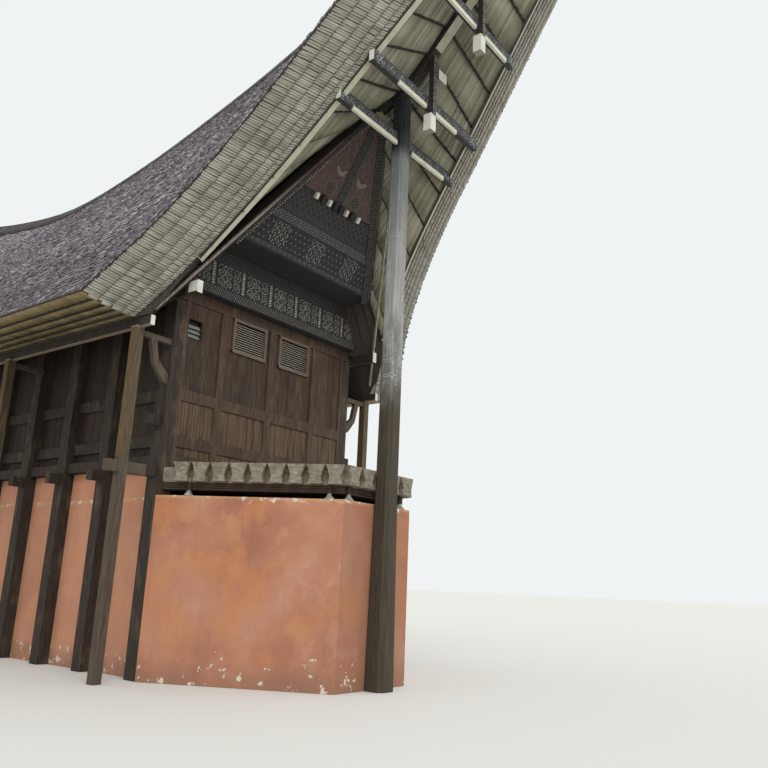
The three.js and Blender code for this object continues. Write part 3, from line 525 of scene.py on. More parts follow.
def post_material():
    """The post before the gable: brown and damp low down, silver grey above, black at its head."""
    s = Shade("front_post_timber", "brown at the foot, silvered half way up, black at the head")
    x, z = s.x, s.z
    fibre = grain_noise(s, (18, 18, 0.7), 3.0, 8, 0.66)
    cloud = grain_noise(s, (1.6, 1.6, 0.7), 1.9, 6, 0.6)
    low = add(s, "ramp", fibre, stops=((0.28, "#241d14"), (0.5, "#3a3225"), (0.74, "#4f4534")))
    grey = add(s, "ramp", fibre, stops=((0.28, "#68655f"), (0.5, "#8b8a86"), (0.74, "#b2b2b0")))
    height = add(s, "ADD", z, about(s, cloud, 3.0))
    base = laid(s, low, grey, height, 4.3, 6.2)
    carving = both(s, scrolls(s, x, z, 0.13, 1.4, 0.16), band(s, z, 4.9, 9.2),
                   add(s, "fade", cloud, 0.42, 0.6, 0, 0.45))
    base = add(s, "mix", carving, base, "#b9bcbd")
    head = add(s, "ADD", z, about(s, fibre, 0.5))
    base = laid(s, base, "#3e4347", head, 6.6, 8.9, 0, 0.6)
    base = laid(s, base, streaked(s, fibre, "#15161a", "#2e3036"), head, 9.15, 9.5)
    return s.finish(base, 0.85, fibre, 0.008, 0.9)


def eave_frame_material():
    """Posts yellow brown on their outer faces, front and back faces in painted shade, dark beam with a pale
    lower edge, grey brown braces.
    """
    s = Shade("eave_post_timber", "yellow brown posts, dark beam with a worn lower edge")
    x, z = add(s, "ABSOLUTE", s.x), s.z
    fibre = grain_noise(s, (16, 16, 0.9), 3.0, 8, 0.65)
    cloud = grain_noise(s, (2, 2, 0.8), 2.0, 5, 0.6)
    base = tones(s, fibre, "#33281a", "#564425", "#7d6637")
    base = laid(s, base, "#4a3d2c", cloud, 0.4, 0.7, 0, 0.55)
    grey = tones(s, fibre, "#2b241c", "#483d31", "#635747")
    low = add(s, "fade", add(s, "ADD", z, add(s, "MULTIPLY", cloud, 0.3)), 3.65, 3.5, 0, 0.85)
    base = add(s, "mix", low, base, grey)
    # Painted shade: the posts' front and back faces are mixed towards the darker grey
    base = add(s, "mix", both(s, facing(s, "Y", 0.7), 0.6), base, grey)
    base = add(s, "mix", add(s, "LESS_THAN", x, EAVE_POST_INNER - 0.005), base, grey)
    beam = streaked(s, fibre, "#1d1712", "#3d332a")
    base = add(s, "mix", add(s, "GREATER_THAN", z, EAVE_BEAM_FOOT - 0.002), base, beam)
    outside = add(s, "GREATER_THAN", x, EAVE_POST_INNER)
    worn = both(s, band(s, z, EAVE_BEAM_FOOT - 0.01, EAVE_BEAM_FOOT + 0.016), outside)
    base = add(s, "mix", worn, base, "#84705e")
    return s.finish(base, 0.82, fibre, 0.006, 0.8)


def trim_material():
    """Edge of the rafters: faded red high up, pale where worn, cream on the front right and the rear left."""
    s = Shade("faded_rafter_edge", "red paint faded to pinkish grey")
    grain = grain_noise(s, (8, 8, 2), 3.0, 7, 0.7)
    z = s.z
    height = add(s, "ADD", z, about(s, grain, 1.2))
    red = streaked(s, grain, "#3c2420", "#58403a")
    pale = streaked(s, grain, "#7d6e65", "#a39990")
    base = add(s, "mix", add(s, "fade", height, 8.9, 7.6), red, pale)
    base = laid(s, base, "#161413", z, 9.4, 9.6)
    # The front right and rear left quarters are cream
    cream_side = add(s, "LESS_THAN", add(s, "MULTIPLY", s.x, s.y), 0.0)
    base = add(s, "mix", cream_side, base, streaked(s, grain, "#6f6a5b", "#a09b86"))
    return s.finish(base, 0.8, grain, 0.003, 0.6)


def roof_core_material():
    """Layers behind the culms, painted dark so that the gaps show as shade; on the end of a prow they show as
    rows of cut rods along the slopes.
    """
    s = Shade("roof_core_bamboo", "dark layers behind the culms, cut ends in rows on the prow's end")
    x, z = add(s, "ABSOLUTE", s.x), s.z
    grain = grain_noise(s, (16, 16, 0.9), 3.0, 8, 0.65)
    # Painted shade: the dark base lets the gaps between culms and shingles read as shadow
    base = tones(s, grain, "#1d1916", "#332d27", "#4b443a")
    layer = add(s, "DIVIDE", add(s, "ADD", z, add(s, "MULTIPLY", x, 1.1)), 0.075)
    shift = add(s, "MULTIPLY", add(s, "FLOOR", layer), 0.37)
    row = add(s, "ABSOLUTE", add(s, "SUBTRACT", add(s, "FRACT", layer), 0.5))
    rod = add(s, "ABSOLUTE", cell(s, add(s, "ADD", x, add(s, "MULTIPLY", shift, 0.05)), 0.05))
    cut = streaked(s, grain, "#55503f", "#8b8675")
    cut = laid(s, cut, "#1f1b17", rod, 0.3, 0.48, 0, 0.8)
    cut = laid(s, cut, "#1d1916", row, 0.28, 0.45, 0, 0.9)
    end = add(s, "GREATER_THAN", add(s, "ABSOLUTE", s.y), PROW_END)
    base = add(s, "mix", both(s, end, facing(s, "Y", 0.6)), base, cut)
    return s.finish(base, 0.88, grain, 0.006, 0.8)


def rafter_material():
    """Rafters: black outside, brown grey boards on the side towards the middle."""
    s = Shade("gable_rafter_timber", "black boards, greyer inside")
    grain = grain_noise(s, (3, 9, 9), 3.0, 7, 0.7)
    black = streaked(s, grain, "#0e0d0c", "#292522")
    inside = streaked(s, grain, "#3a342b", "#625b4d")
    base = add(s, "mix", facing_middle(s, 0.3), black, inside)
    return s.finish(base, 0.82, grain, 0.004, 0.6)


MAT = {
    "shingle": shingle_material(),
    "culm": bamboo("split_bamboo_verge", "grey green culm ends along the verge", "#6a685c", "#959285",
                   "#b5b2a5", edge_from=0.95, vary=0.28),
    "eave": bamboo("aged_bamboo_eave", "olive brown bamboo under the eaves", "#453b28", "#7d7049", "#a39469",
                   edge_from=0.9),
    "soffit": bamboo("bamboo_soffit", "mossy grey bamboo under the prows", "#636152", "#8f8c78", "#aeaa98",
                     edge_from=0.93),
    "stubble": bamboo("ridge_stubble", "black uneven rods over the ridge", "#1f1b1a", "#3d3737", "#635b5c"),
    # The joint material also colours the painted shadow strip along each verge
    "joint": timber("dark_joint_and_shadow", "sooty rods across the soffit's joints", "#171411", "#2b2622", "#453e37"),
    "roof_core": roof_core_material(),
    "cap": timber("ridge_capping", "black weathered capping on the ridge", "#1f1b1a", "#3a3433", "#5b5352",
                  (5, 30, 5)),
    "boards": timber("dark_stained_boards", "brown stained wall boards", "#1f150b", "#372616", "#523c23",
                     weather="#4d3e2a", bleach="#6b573f"),
    "side_boards": timber("shaded_side_boards", "brown boards under the eaves", "#18100a", "#281a10",
                          "#3b2916"),
    "frame": timber("dark_frame_timber", "dark brown frame posts and rails", "#302217", "#4c3927", "#634d36",
                    weather="#5f4c38", contrast=0.9),
    "piles": timber("black_pile_timber", "soaked dark piles", "#1c150e", "#382b1f", "#594733",
                    weather="#5a4c3a"),
    "tan_post": eave_frame_material(),
    "grey_post": post_material(),
    "gable": timber("black_gable_timber", "black blocks of the gable", "#0f0d0c", "#1c1917", "#322d29"),
    "rafter": rafter_material(),
    "trim": trim_material(),
    "cream": painted("cream_painted_board", "cream boards gone grey and green", "#c9c7b4", "#918e7a"),
    "white": painted("white_painted_end", "white ends of the beams", "#cfcec3", "#9d9b8d"),
    "sun": painted("worn_sun_paint", "half faded paint of the suns and cockerels", "#6f675a", "#463a32"),
    "head": painted("carved_head_wood", "pale ochre carving beside the post", "#8a8468", "#5c573f"),
    "rim": painted("faded_vent_rim", "pale brown rims round the vents", "#645548", "#403429"),
    "verge_board": verge_board_material(),
    "ridge_beam": ridge_beam_material(),
    "plaster": plaster_material(),
    "bark": bark_material(),
    "frieze": carved("carved_frieze", "black frieze with white scrolls", frieze_pattern, ground="#171413",
                     cut="#b9b6ab"),
    "panel": carved("carved_gable_panel", "carved bands under red boards", panel_pattern, red="#56463f"),
    "strip": carved("carved_strip", "running scrolls between beads", strip_pattern),
    "bar": carved("carved_bar", "large scrolls on the cross bars", bar_pattern, ground="#343536",
                  cut="#8e9091"),
    "louvre": painted("grey_louvre", "light grey slats of the vents", "#9a9085", "#665c52"),
    "pane": painted("grey_window_slat", "pale slats of the small window", "#7a7d76", "#4d4d45"),
    "dark": timber("room_shade", "unlit boards behind the openings", "#0c0a09", "#171310", "#241d18"),
}


# Mesh helpers

def build(name, vertices, faces, material, slot, attributes, smooth=False):
    """A piece of the house from arrays: each array of faces has one size, attributes a value a vertex."""
    mesh = bpy.data.meshes.new(name)
    groups = [np.asarray(f, np.int32) for f in faces if len(f)]
    sizes = np.concatenate([np.full(len(f), f.shape[1], np.int32) for f in groups])
    loops = np.concatenate([f.ravel() for f in groups])
    mesh.vertices.add(len(vertices))
    mesh.vertices.foreach_set("co", np.asarray(vertices, np.float32).ravel())
    mesh.loops.add(len(loops))
    mesh.loops.foreach_set("vertex_index", loops)
    mesh.polygons.add(len(sizes))
    mesh.polygons.foreach_set("loop_start", np.concatenate([[0], np.cumsum(sizes)[:-1]]).astype(np.int32))
    mesh.polygons.foreach_set("loop_total", sizes)
    mesh.polygons.foreach_set("use_smooth", np.full(len(sizes), smooth))
    mesh.update(calc_edges=True)
    for key, values in attributes.items():
        layer = mesh.attributes.new(key, "FLOAT", "POINT")
        layer.data.foreach_set("value", np.asarray(values, np.float32).ravel())
    mesh.materials.append(MAT[material])
    piece = bpy.data.objects.new(name, mesh)
    bpy.context.scene.collection.objects.link(piece)
    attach(piece, "root")
    return piece


BOX_FACES = np.array([[0, 3, 2, 1], [4, 5, 6, 7], [0, 1, 5, 4], [1, 2, 6, 5], [2, 3, 7, 6], [3, 0, 4, 7]])


def boxes(name, items, material, slot):
    """One piece of boxes from (x0, x1, y0, y1, z0, z1) rows, each box with its own tint."""
    limits = np.array(items, float).reshape(-1, 3, 2)
    low, high = limits.min(2), limits.max(2)
    pick = np.array([[0, 0, 0], [1, 0, 0], [1, 1, 0], [0, 1, 0], [0, 0, 1], [1, 0, 1], [1, 1, 1], [0, 1, 1]])
    corners = low[:, None] * (1 - pick) + high[:, None] * pick
    faces = BOX_FACES[None] + 8 * np.arange(len(items))[:, None, None]
    values = {"tint": np.repeat(rng.random(len(items)), 8), "along": np.tile(pick[:, 2], len(items))}
    return build(name, corners.reshape(-1, 3), [faces.reshape(-1, 4)], material, slot, values)


def hermite(points, column):
    """The same smooth curve as the part's, for arrays."""
    p = np.array(points, float)
    n = len(p)
    before, after = np.clip(np.arange(n) - 1, 0, n - 1), np.clip(np.arange(n) + 1, 0, n - 1)
    slope = (p[after, column] - p[before, column]) / (p[after, 0] - p[before, 0])

    def at(t):
        t = np.asarray(t, float)
        i = np.clip(np.searchsorted(p[:, 0], t, side="left") - 1, 0, n - 2)
        h = p[i + 1, 0] - p[i, 0]
        u = (t - p[i, 0]) / h
        v0, v1 = p[i, column], p[i + 1, column]
        bend = u * (1 - u) ** 2 * h * slope[i] + u * u * (u - 1) * h * slope[i + 1]
        return v0 + (v1 - v0) * u * u * (3 - 2 * u) + bend

    return at


# Roof, as in the part, in metres by distance d in front of the front wall
EAVE_D, FIRST_D, TIP_D = -0.03, 0.75, 7.0
VERGE = [(-0.03, 4.19, 5.86), (0.75, 3.46, 7.22), (1.84, 2.91, 8.8), (3.37, 2.48, 10.73), (5.2, 1.96, 12.95),
         (7.0, 1.48, 15.1)]
RIDGE = [(-5.845, 12.18), (-2.945, 11.56), (0, 11.25), (2.945, 11.56), (5.845, 12.18), (8.245, 12.86),
         (10.745, 13.87), (13.245, 15.25), (15.245, 16.55)]
FACE_ANGLE = [(-0.03, 6), (0.75, 25.6), (1.84, 31), (3.37, 34.7), (7.0, 38)]
FACE_LENGTH = [(-0.03, 1.046), (0.75, 0.92), (1.84, 0.955), (3.37, 1.01), (7.0, 0.95)]
UNDER_SLOPE = [(0.75, 1.45), (1.84, 1), (2.9, 0.62), (3.6, 0.55), (7.0, 0.55)]
COURSES = np.array([0, 0.26, 0.48, 0.67, 0.84, 1.0])
COURSE_STEP = 0.035
BOARD_DROP, BOARD_THICK = 0.13, 0.06
CAP_REACH, CAP_THICK, CAP_CROWN = 0.26, 0.045, 0.03
PROW_STATIONS = np.concatenate([[-0.02985], np.linspace(0.15, 0.75, 4), np.linspace(1.05, 7, 17)])
BODY_STATIONS = np.linspace(-8.21485, 8.21485, 25)
verge_x, verge_z = hermite(VERGE, 1), hermite(VERGE, 2)
ridge_z, face_angle, face_length = hermite(RIDGE, 1), hermite(FACE_ANGLE, 1), hermite(FACE_LENGTH, 1)
under_slope = hermite(UNDER_SLOPE, 1)


def section(d):
    """Edge, ridge and directions of the roof's section at distances d, as arrays of (x, z)."""
    d = np.asarray(d, float)
    held = np.maximum(d, EAVE_D)
    edge = np.stack([verge_x(held), verge_z(held)], -1)
    top = ridge_z(HALF + d)
    run = np.hypot(edge[..., 0], top - edge[..., 1])
    up = np.stack([-edge[..., 0], top - edge[..., 1]], -1) / run[..., None]
    inward = np.stack([-up[..., 1], up[..., 0]], -1)
    angle = np.radians(face_angle(held))
    along = np.stack([-np.cos(angle), -np.sin(angle)], -1)
    proud = np.stack([np.sin(angle), -np.cos(angle)], -1)
    length = face_length(held)
    foot = edge + along * length[..., None]
    drop = BOARD_DROP * length
    outer = foot + up * (drop * (along * up).sum(-1))[..., None]
    depth = drop * (along * inward).sum(-1)
    rise = under_slope(np.maximum(held, FIRST_D))
    return {"edge": edge, "ridge": top, "up": up, "inward": inward, "along": along, "proud": proud,
            "length": length, "outer": outer, "inner": outer + up * BOARD_THICK, "depth": depth, "rise": rise}


def lift(points, d):
    """(x, z) points at distances d as row-frame points of the front right quarter."""
    y = -(HALF + np.asarray(d, float))
    return np.stack([points[..., 0], np.broadcast_to(y, points.shape[:-1]), points[..., 1]], -1)


def unit(v):
    """Vectors brought to length 1."""
    return v / np.linalg.norm(v, axis=-1, keepdims=True)


class Slope:
    """A right-hand slope as the part has it, in flat triangles between its stations."""

    def __init__(self, at, y):
        s = section(np.abs(y) - HALF)
        fall = s["up"][:, 1] / s["up"][:, 0]
        reach = np.full(len(y), CAP_REACH)
        self.at = at
        self.top = np.stack([reach, y, s["ridge"] + fall * CAP_REACH], -1)
        self.edge = np.stack([s["edge"][:, 0], y, s["edge"][:, 1]], -1)
        self.run = np.linalg.norm(self.edge - self.top, axis=-1)

    def reach(self, t):
        """The slope's length from the capping to its edge."""
        return np.interp(t, self.at, self.run)

    def point(self, t, w):
        """Points w metres down from the capping, and the normals there."""
        k = np.clip(np.searchsorted(self.at, t, side="right") - 1, 0, len(self.at) - 2)
        f = ((t - self.at[k]) / (self.at[k + 1] - self.at[k]))[:, None]
        u = (w / self.reach(t))[:, None]
        a0, a1, b0, b1 = self.top[k], self.top[k + 1], self.edge[k], self.edge[k + 1]
        low = u >= f
        place = np.where(low, a0 + (b0 - a0) * u + (b1 - b0) * f, a0 + (a1 - a0) * f + (b1 - a1) * u)
        normal = unit(np.where(low, np.cross(b0 - a0, b1 - b0), np.cross(a1 - a0, b1 - a1)))
        return place, normal * np.sign(normal[:, 2:3])


BODY = Slope(BODY_STATIONS, BODY_STATIONS)
PROW = Slope(PROW_STATIONS, -(HALF + PROW_STATIONS))
WEDGE = np.array([[0, 1, 5, 4], [4, 5, 3, 2], [0, 2, 3, 1]])
WEDGE_SIDES = np.array([[0, 4, 2], [1, 3, 5]])


def shingles(slope, start, end, row=0.125, wide=0.062):
    """Overlapping wedges in ragged rows at even distances from the ridge."""
    rows = []
    for k in range(int(slope.run.max() / row) + 1):
        count = int((end - start) / wide)
        cuts = start + (end - start) * (np.arange(count + 1) + rng.uniform(-0.3, 0.3, count + 1)) / count
        cuts[0], cuts[-1] = start, end
        tail = np.full(count, (k + 1) * row) + rng.uniform(-0.03, 0.03, count)
        rows.append(np.stack([cuts[:-1] + 0.001, cuts[1:] - 0.001, np.full(count, max(k * row - 0.02, 0)),
                              tail], -1))
    q = np.concatenate(rows)
    reach = slope.reach((q[:, 0] + q[:, 1]) / 2) - 0.004
    q, reach = q[q[:, 2] < reach - 0.04], reach[q[:, 2] < reach - 0.04]
    q[:, 3] = np.minimum(q[:, 3], reach)
    d0, d1, s0, s1 = q.T
    normal = slope.point((d0 + d1) / 2, (s0 + s1) / 2)[1]
    rise = rng.uniform(0.014, 0.032, len(q))[:, None]
    skew = rng.uniform(-0.007, 0.007, len(q))[:, None]
    top_l, top_r = slope.point(d0, s0)[0] + normal * 0.003, slope.point(d1, s0)[0] + normal * 0.003
    low_l, low_r = slope.point(d0, s1)[0], slope.point(d1, s1)[0]
    vertices = np.stack([top_l, top_r, low_l - normal * SUNK, low_r - normal * SUNK,
                         low_l + normal * (rise + skew), low_r + normal * (rise - skew)], 1)
    tint = np.repeat(np.clip(rng.normal(0.5, 0.27, len(q)), 0, 1), 6)
    values = {"tint": tint, "along": np.tile([0, 0, 1, 1, 1, 1], len(q))}
    base = 6 * np.arange(len(q))[:, None, None]
    return vertices.reshape(-1, 3), [(WEDGE[None] + base).reshape(-1, 4),
                                     (WEDGE_SIDES[None] + base).reshape(-1, 3)], values


# Beyond these, looks are drawn in by a share or cut off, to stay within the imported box
EAVE_LIMIT, EAVE_SHARE, TIP_LIMIT = 4.14, 0.45, 15.243


def turned(vertices, end, side):
    """A front right-hand piece moved to another quarter, and whether its faces must be turned over."""
    out = np.array(vertices, float)
    beyond = np.maximum(out[..., 0] - EAVE_LIMIT, 0)
    out[..., 0] -= beyond * EAVE_SHARE
    out[..., 1] = np.clip(out[..., 1], -TIP_LIMIT, TIP_LIMIT)
    if side == "left":
        out[..., 0] *= -1
    if end == "rear":
        out[..., :2] *= -1
    return out, side == "left"


def place(name, made, material, slot, end, side, smooth=False):
    """A front right-hand piece built in the quarter that end and side name."""
    vertices, faces, attributes = outward(made)
    vertices, flipped = turned(vertices, end, side)
    if flipped:
        faces = [np.asarray(f)[:, ::-1] for f in faces]
    return build(name, vertices, faces, material, slot, attributes, smooth)


QUARTERS = [("front", "right"), ("front", "left"), ("rear", "right"), ("rear", "left")]


def local_side(end, side):
    """Side of the front end whose piece, turned about, becomes the side of that end."""
    return side if end == "front" else {"right": "left", "left": "right"}[side]


def lay_shingles():
    """Shingles on the four prows and the two slopes of the body."""
    for end, side in QUARTERS:
        made = shingles(PROW, EAVE_D + 0.001, TIP_D - 0.02)
        place(f"shingles_{end}_{side}", made, "shingle", "thatch", end, local_side(end, side))
    for side in ("right", "left"):
        made = shingles(BODY, BODY_STATIONS[0], BODY_STATIONS[-1])
        place(f"shingles_middle_{side}", made, "shingle", "thatch", "front", side)


CULM_STEPS = 5  # corners across a half-round culm
SUNK = 0.004  # how deep culms and shingles are set into what they lie on


def culms(a, b, across, normal, radius, bulge):
    """Half-round culms from points a to b, each bulging along its normal by that share of its radius."""
    count = len(a)
    axis = unit(b - a)
    across = unit(across - axis * (across * axis).sum(-1, keepdims=True))
    normal = unit(normal - axis * (normal * axis).sum(-1, keepdims=True))
    theta = np.linspace(0, math.pi, CULM_STEPS)
    sideways = np.cos(theta)[None, :, None] * across[:, None]
    outwards = bulge * np.sin(theta)[None, :, None] * normal[:, None]
    offset = (sideways + outwards) * radius[:, None, None] - normal[:, None] * SUNK
    vertices = np.concatenate([a[:, None] + offset, b[:, None] + offset], 1)
    n = CULM_STEPS
    quads = [[i, i + 1, n + i + 1, n + i] for i in range(n - 1)] + [[n - 1, 0, n, 2 * n - 1]]
    caps = [list(range(n))[::-1], list(range(n, 2 * n))]
    hand = (np.cross(across[0], normal[0]) * axis[0]).sum()
    if hand < 0:
        quads, caps = [q[::-1] for q in quads], [c[::-1] for c in caps]
    base = 2 * n * np.arange(count)[:, None, None]
    faces = [(np.array(quads)[None] + base).reshape(-1, 4), (np.array(caps)[None] + base).reshape(-1, n)]
    tint = np.repeat(np.clip(rng.normal(0.5, 0.22, count), 0, 1), 2 * n)
    along = np.tile(np.repeat([0, 1], n), count)
    return vertices.reshape(-1, 3), faces, {"tint": tint, "along": along}


def upright(flat):
    """(x, z) directions as directions in the row frame."""
    return np.stack([flat[:, 0], np.zeros(len(flat)), flat[:, 1]], -1)


def face_point(d, share, proud):
    """Points of the verge's face, share of its width in from the edge, proud of it in metres."""
    g = section(d)
    flat = g["edge"] + g["along"] * (share * g["length"])[:, None] + g["proud"] * proud[:, None]
    return lift(flat, d)


# Courses of culms on a prow's face: shares of its width, each lapped over the next one's start
LAPS = np.array([0, 0.287, 0.525, 0.723, 0.881, 1.0])
LAP_START, LAP_END = (0.0, 0.031, 0.027, 0.024, 0.026), (0.043, 0.042, 0.043, 0.044, 0.006)


def verge_culms(rise=0.037):
    """Five courses of culms over a prow's face, each culm nearly level."""
    d = np.linspace(EAVE_D, TIP_D, 500)
    parts = []
    for i in range(5):
        s0, s1 = LAPS[i], LAPS[i + 1]
        z0, z1 = (face_point(d, np.full(len(d), s), np.zeros(len(d)))[:, 2] for s in (s0, s1))
        z = np.arange(z1[0] + rise / 2, z0[-1] - 0.01, rise)
        z = z + rng.uniform(-0.004, 0.004, len(z))
        span = s1 - s0
        first = np.where(z < z0[0], s0 + span * (z0[0] - z) / (z0[0] - z1[0]), s0)
        last = np.where(z > z1[-1], s0 + span * (z0[-1] - z) / (z0[-1] - z1[-1]), s1)
        if i == 0:
            first = first + rng.uniform(0.018, 0.045, len(z)) * (z > z0[0])
        ragged = rng.uniform(-0.02, 0.0, len(z)) if i == 4 else rng.uniform(-0.006, 0.01, len(z))
        last = last + ragged * (z < z1[-1])
        start_d = np.interp(z, z0, d)
        end_d = np.interp(z, z1, d)
        end_d = end_d + (start_d - end_d) * np.interp(start_d, [0, 3, 6], [0.24, 0.12, 0.08])
        end_d = np.minimum(end_d, TIP_D - 0.02)
        keep = (last - first > 0.03) & (start_d < TIP_D - 0.03)
        first, last, start_d, end_d = first[keep], last[keep], start_d[keep], end_d[keep]
        slope = (LAP_END[i] - LAP_START[i]) / span
        a = face_point(start_d, first, LAP_START[i] + slope * (first - s0))
        b = face_point(end_d, last, LAP_START[i] + slope * (last - s0))
        proud = upright(section(start_d)["proud"])
        flush = np.zeros(len(a))
        ahead = unit(face_point(start_d + 0.01, first, flush) - face_point(start_d - 0.01, first, flush))
        normal = unit(np.cross(ahead, b - a))
        normal = normal * np.sign((normal * proud).sum(-1, keepdims=True))
        skew = np.linalg.norm(np.cross(ahead, unit(b - a)), axis=-1)
        gap = rise / np.maximum(np.abs(ahead[:, 2]), 0.3) * skew
        radius = gap * 0.5 * rng.uniform(0.93, 1.04, len(a))
        parts.append(culms(a, b, np.cross(normal, b - a), normal, radius, 0.55))
    return merged(parts)


EAVE_TINTS = (0.62, 0.42, 0.3, 0.2, 0.12)  # from the edge inwards


def eave_culms(pitch=0.085):
    """Five bands of culms under the long eaves, paler towards the edge."""
    y = np.arange(-HALF + 0.08, HALF - 0.05, pitch)
    d = np.full(len(y), EAVE_D)
    along_y = np.repeat([[0, 1.0, 0]], len(y), 0)
    proud = upright(section(d)["proud"])
    parts = []
    for i in range(5):
        ragged = rng.uniform(-0.02, 0.0, len(y))
        a = face_point(d, np.full(len(y), COURSES[i] + 0.006), np.full(len(y), COURSE_STEP if i else 0.0))
        b = face_point(d, COURSES[i + 1] + ragged, np.zeros(len(y)))
        a[:, 1], b[:, 1] = y, y + rng.normal(0, 0.006, len(y))
        made = culms(a, b, along_y, proud, pitch * 0.5 * rng.uniform(0.9, 1.02, len(y)), 0.34)
        made[2]["tint"] = np.clip(made[2]["tint"] * 0.5 + EAVE_TINTS[i], 0, 1)
        parts.append(made)
    return merged(parts)


def ridge_sticks(pitch=0.07):
    """Short split culms laid down over the edge of the capping, uneven like stubble."""
    y = np.arange(-HALF - TIP_D + 0.04, HALF + TIP_D - 0.03, pitch)
    s = section(np.abs(y) - HALF)
    fall = -s["up"][:, 1] / s["up"][:, 0]
    start, end = np.full(len(y), 0.03), CAP_REACH + rng.uniform(0.0, 0.09, len(y))
    crest = s["ridge"] + CAP_THICK + CAP_CROWN

    def on_cap(x, high):
        return np.stack([x, y, crest - (fall + CAP_CROWN / (CAP_REACH - 0.01)) * x + high], -1)

    e = 0.02
    ahead = np.stack([np.zeros(len(y)), np.full(len(y), 2 * e),
                      section(np.abs(y + e) - HALF)["ridge"] - section(np.abs(y - e) - HALF)["ridge"]], -1)
    a, b = on_cap(start, -0.012), on_cap(end, rng.uniform(-0.008, 0.012, len(y)))
    normal = np.cross(unit(b - a), unit(ahead))
    normal = normal * np.sign(normal[:, 2:3])
    return culms(a, b, ahead, normal, pitch * 0.5 * rng.uniform(0.7, 1.0, len(y)), 0.7)


def merged(parts):
    """Several (vertices, faces, attributes) as one."""
    vertices, kinds, attributes, base = [], {}, {}, 0
    for v, faces, values in parts:
        vertices.append(v)
        for f in faces:
            kinds.setdefault(f.shape[1], []).append(f + base)
        for key, value in values.items():
            attributes.setdefault(key, []).append(value)
        base += len(v)
    faces = [np.concatenate(f) for f in kinds.values()]
    return np.concatenate(vertices), faces, {k: np.concatenate(a) for k, a in attributes.items()}


def lay_culms():
    """Culms on the verges, under the eaves and over the ridge."""
    for end, side in QUARTERS:
        place(f"verge_culms_{end}_{side}", verge_culms(), "culm", "thatch", end, local_side(end, side), True)
    for side in ("right", "left"):
        place(f"eave_culms_{side}", eave_culms(), "eave", "thatch", "front", side, True)
        place(f"ridge_sticks_{side}", ridge_sticks(), "stubble", "thatch", "front", side, True)


# Joints between the panels of culms under a prow, by distance d at the verge
JOINTS = [FIRST_D + 0.01, 0.94, 1.38, 1.83, 2.27, 2.72, 3.17, 3.61, 4.06, 4.51, 4.95, 5.4, 5.84, 6.29, 6.73,
          6.98]


def slant(d):
    """How much nearer to the wall a joint lies at the ridge than at the verge."""
    return np.interp(d, [2.27, 2.72, 3.17, 3.61, 4.06], [0.1, 0.16, 0.22, 0.05, 0.1])


def under_point(d, t, below):
    """Points of a prow's underside, t from the verge board (0) to the ridge beam (1)."""
    g = section(d)
    wide = g["inner"][..., 0] - 0.12
    x = g["inner"][..., 0] - t * wide
    z = g["inner"][..., 1] + t * wide * g["rise"]
    reach = np.hypot(1, g["rise"])
    return lift(np.stack([x - below * g["rise"] / reach, z - below / reach], -1), d)


def hang(d):
    """How far the culms hang below the underside, whose flat triangles bulge down near the wall."""
    return np.interp(d, [1.3, 2.3, 2.75, 3.05], [0.062, 0.048, 0.038, 0.004])


def soffit_culms(pitch=0.044):
    """Panels of culms that run along a prow's underside, each lapped over the next one's ends."""
    parts = []
    for d0, d1 in zip(JOINTS[:-1], JOINTS[1:]):
        mid = section(np.array([(d0 + d1) / 2]))
        wide = (mid["inner"][0, 0] - 0.12) * math.hypot(1, mid["rise"][0])
        count = max(int(wide / pitch), 3)
        t = (np.arange(count) + 0.5) / count
        a_d = np.maximum(d0 - slant(d0) * t + rng.uniform(-0.006, 0.006, count), FIRST_D)
        b_d = np.maximum(d1 - slant(d1) * t + rng.uniform(-0.02, 0.0, count), a_d + 0.03)
        a, b = under_point(a_d, t, hang(a_d) + 0.02), under_point(b_d, t, hang(b_d))
        across = under_point(a_d, t - 0.02, 0.0) - under_point(a_d, t + 0.02, 0.0)
        normal = unit(np.cross(across, b - a))
        normal = normal * -np.sign(normal[:, 2:3])
        radius = wide / count * 0.5 * rng.uniform(0.9, 1.02, count)
        parts.append(culms(a, b, across, normal, radius, 0.5))
    return merged(parts)


def joint_battens():
    """Dark rods across the joints."""
    parts = []
    for at in JOINTS[1:-1]:
        t = np.linspace(0.0, 1.0, 8)
        place_d = np.maximum(at - slant(at) * t - 0.012, FIRST_D)
        line = under_point(place_d, t, 0.0)
        line[:, 2] -= hang(place_d)
        parts.append(strip(line, np.array([0.0, 1, 0]), np.array([0.0, 0, -1]), (-0.009, 0.009),
                           (0.004, 0.04)))
    return merged(parts)


def outward(made):
    """The same closed piece, with its faces turned outwards if its volume is negative."""
    vertices, faces, attributes = made
    volume = 0.0
    for f in faces:
        for k in range(1, f.shape[1] - 1):
            a, b, c = vertices[f[:, 0]], vertices[f[:, k]], vertices[f[:, k + 1]]
            volume += (a * np.cross(b, c)).sum()
    return made if volume > 0 else (vertices, [f[:, ::-1] for f in faces], attributes)


def strip(points, side, thick, widths, depths):
    """A closed bar along points: widths is its reach on both sides, depths its reach along thick."""
    n = len(points)
    side, thick = np.broadcast_to(side, (n, 3)), np.broadcast_to(thick, (n, 3))
    w0, w1 = (np.broadcast_to(w, (n,))[:, None] for w in widths)
    corners = [points + side * w0 + thick * depths[0], points + side * w1 + thick * depths[0],
               points + side * w1 + thick * depths[1], points + side * w0 + thick * depths[1]]
    vertices = np.stack(corners, 1).reshape(-1, 3)
    k = 4 * np.arange(n - 1)[:, None]
    quads = np.concatenate([k + [i, (i + 1) % 4, 4 + (i + 1) % 4, 4 + i] for i in range(4)])
    caps = np.array([[3, 2, 1, 0], [4 * n - 4, 4 * n - 3, 4 * n - 2, 4 * n - 1]])
    length = np.concatenate([[0], np.cumsum(np.linalg.norm(np.diff(points, axis=0), axis=1))])
    values = {"tint": np.full(4 * n, rng.random()), "along": np.repeat(length, 4),
              "across": np.tile([0, 1, 1, 0], n)}
    return outward((vertices, [np.concatenate([quads, caps])], values))


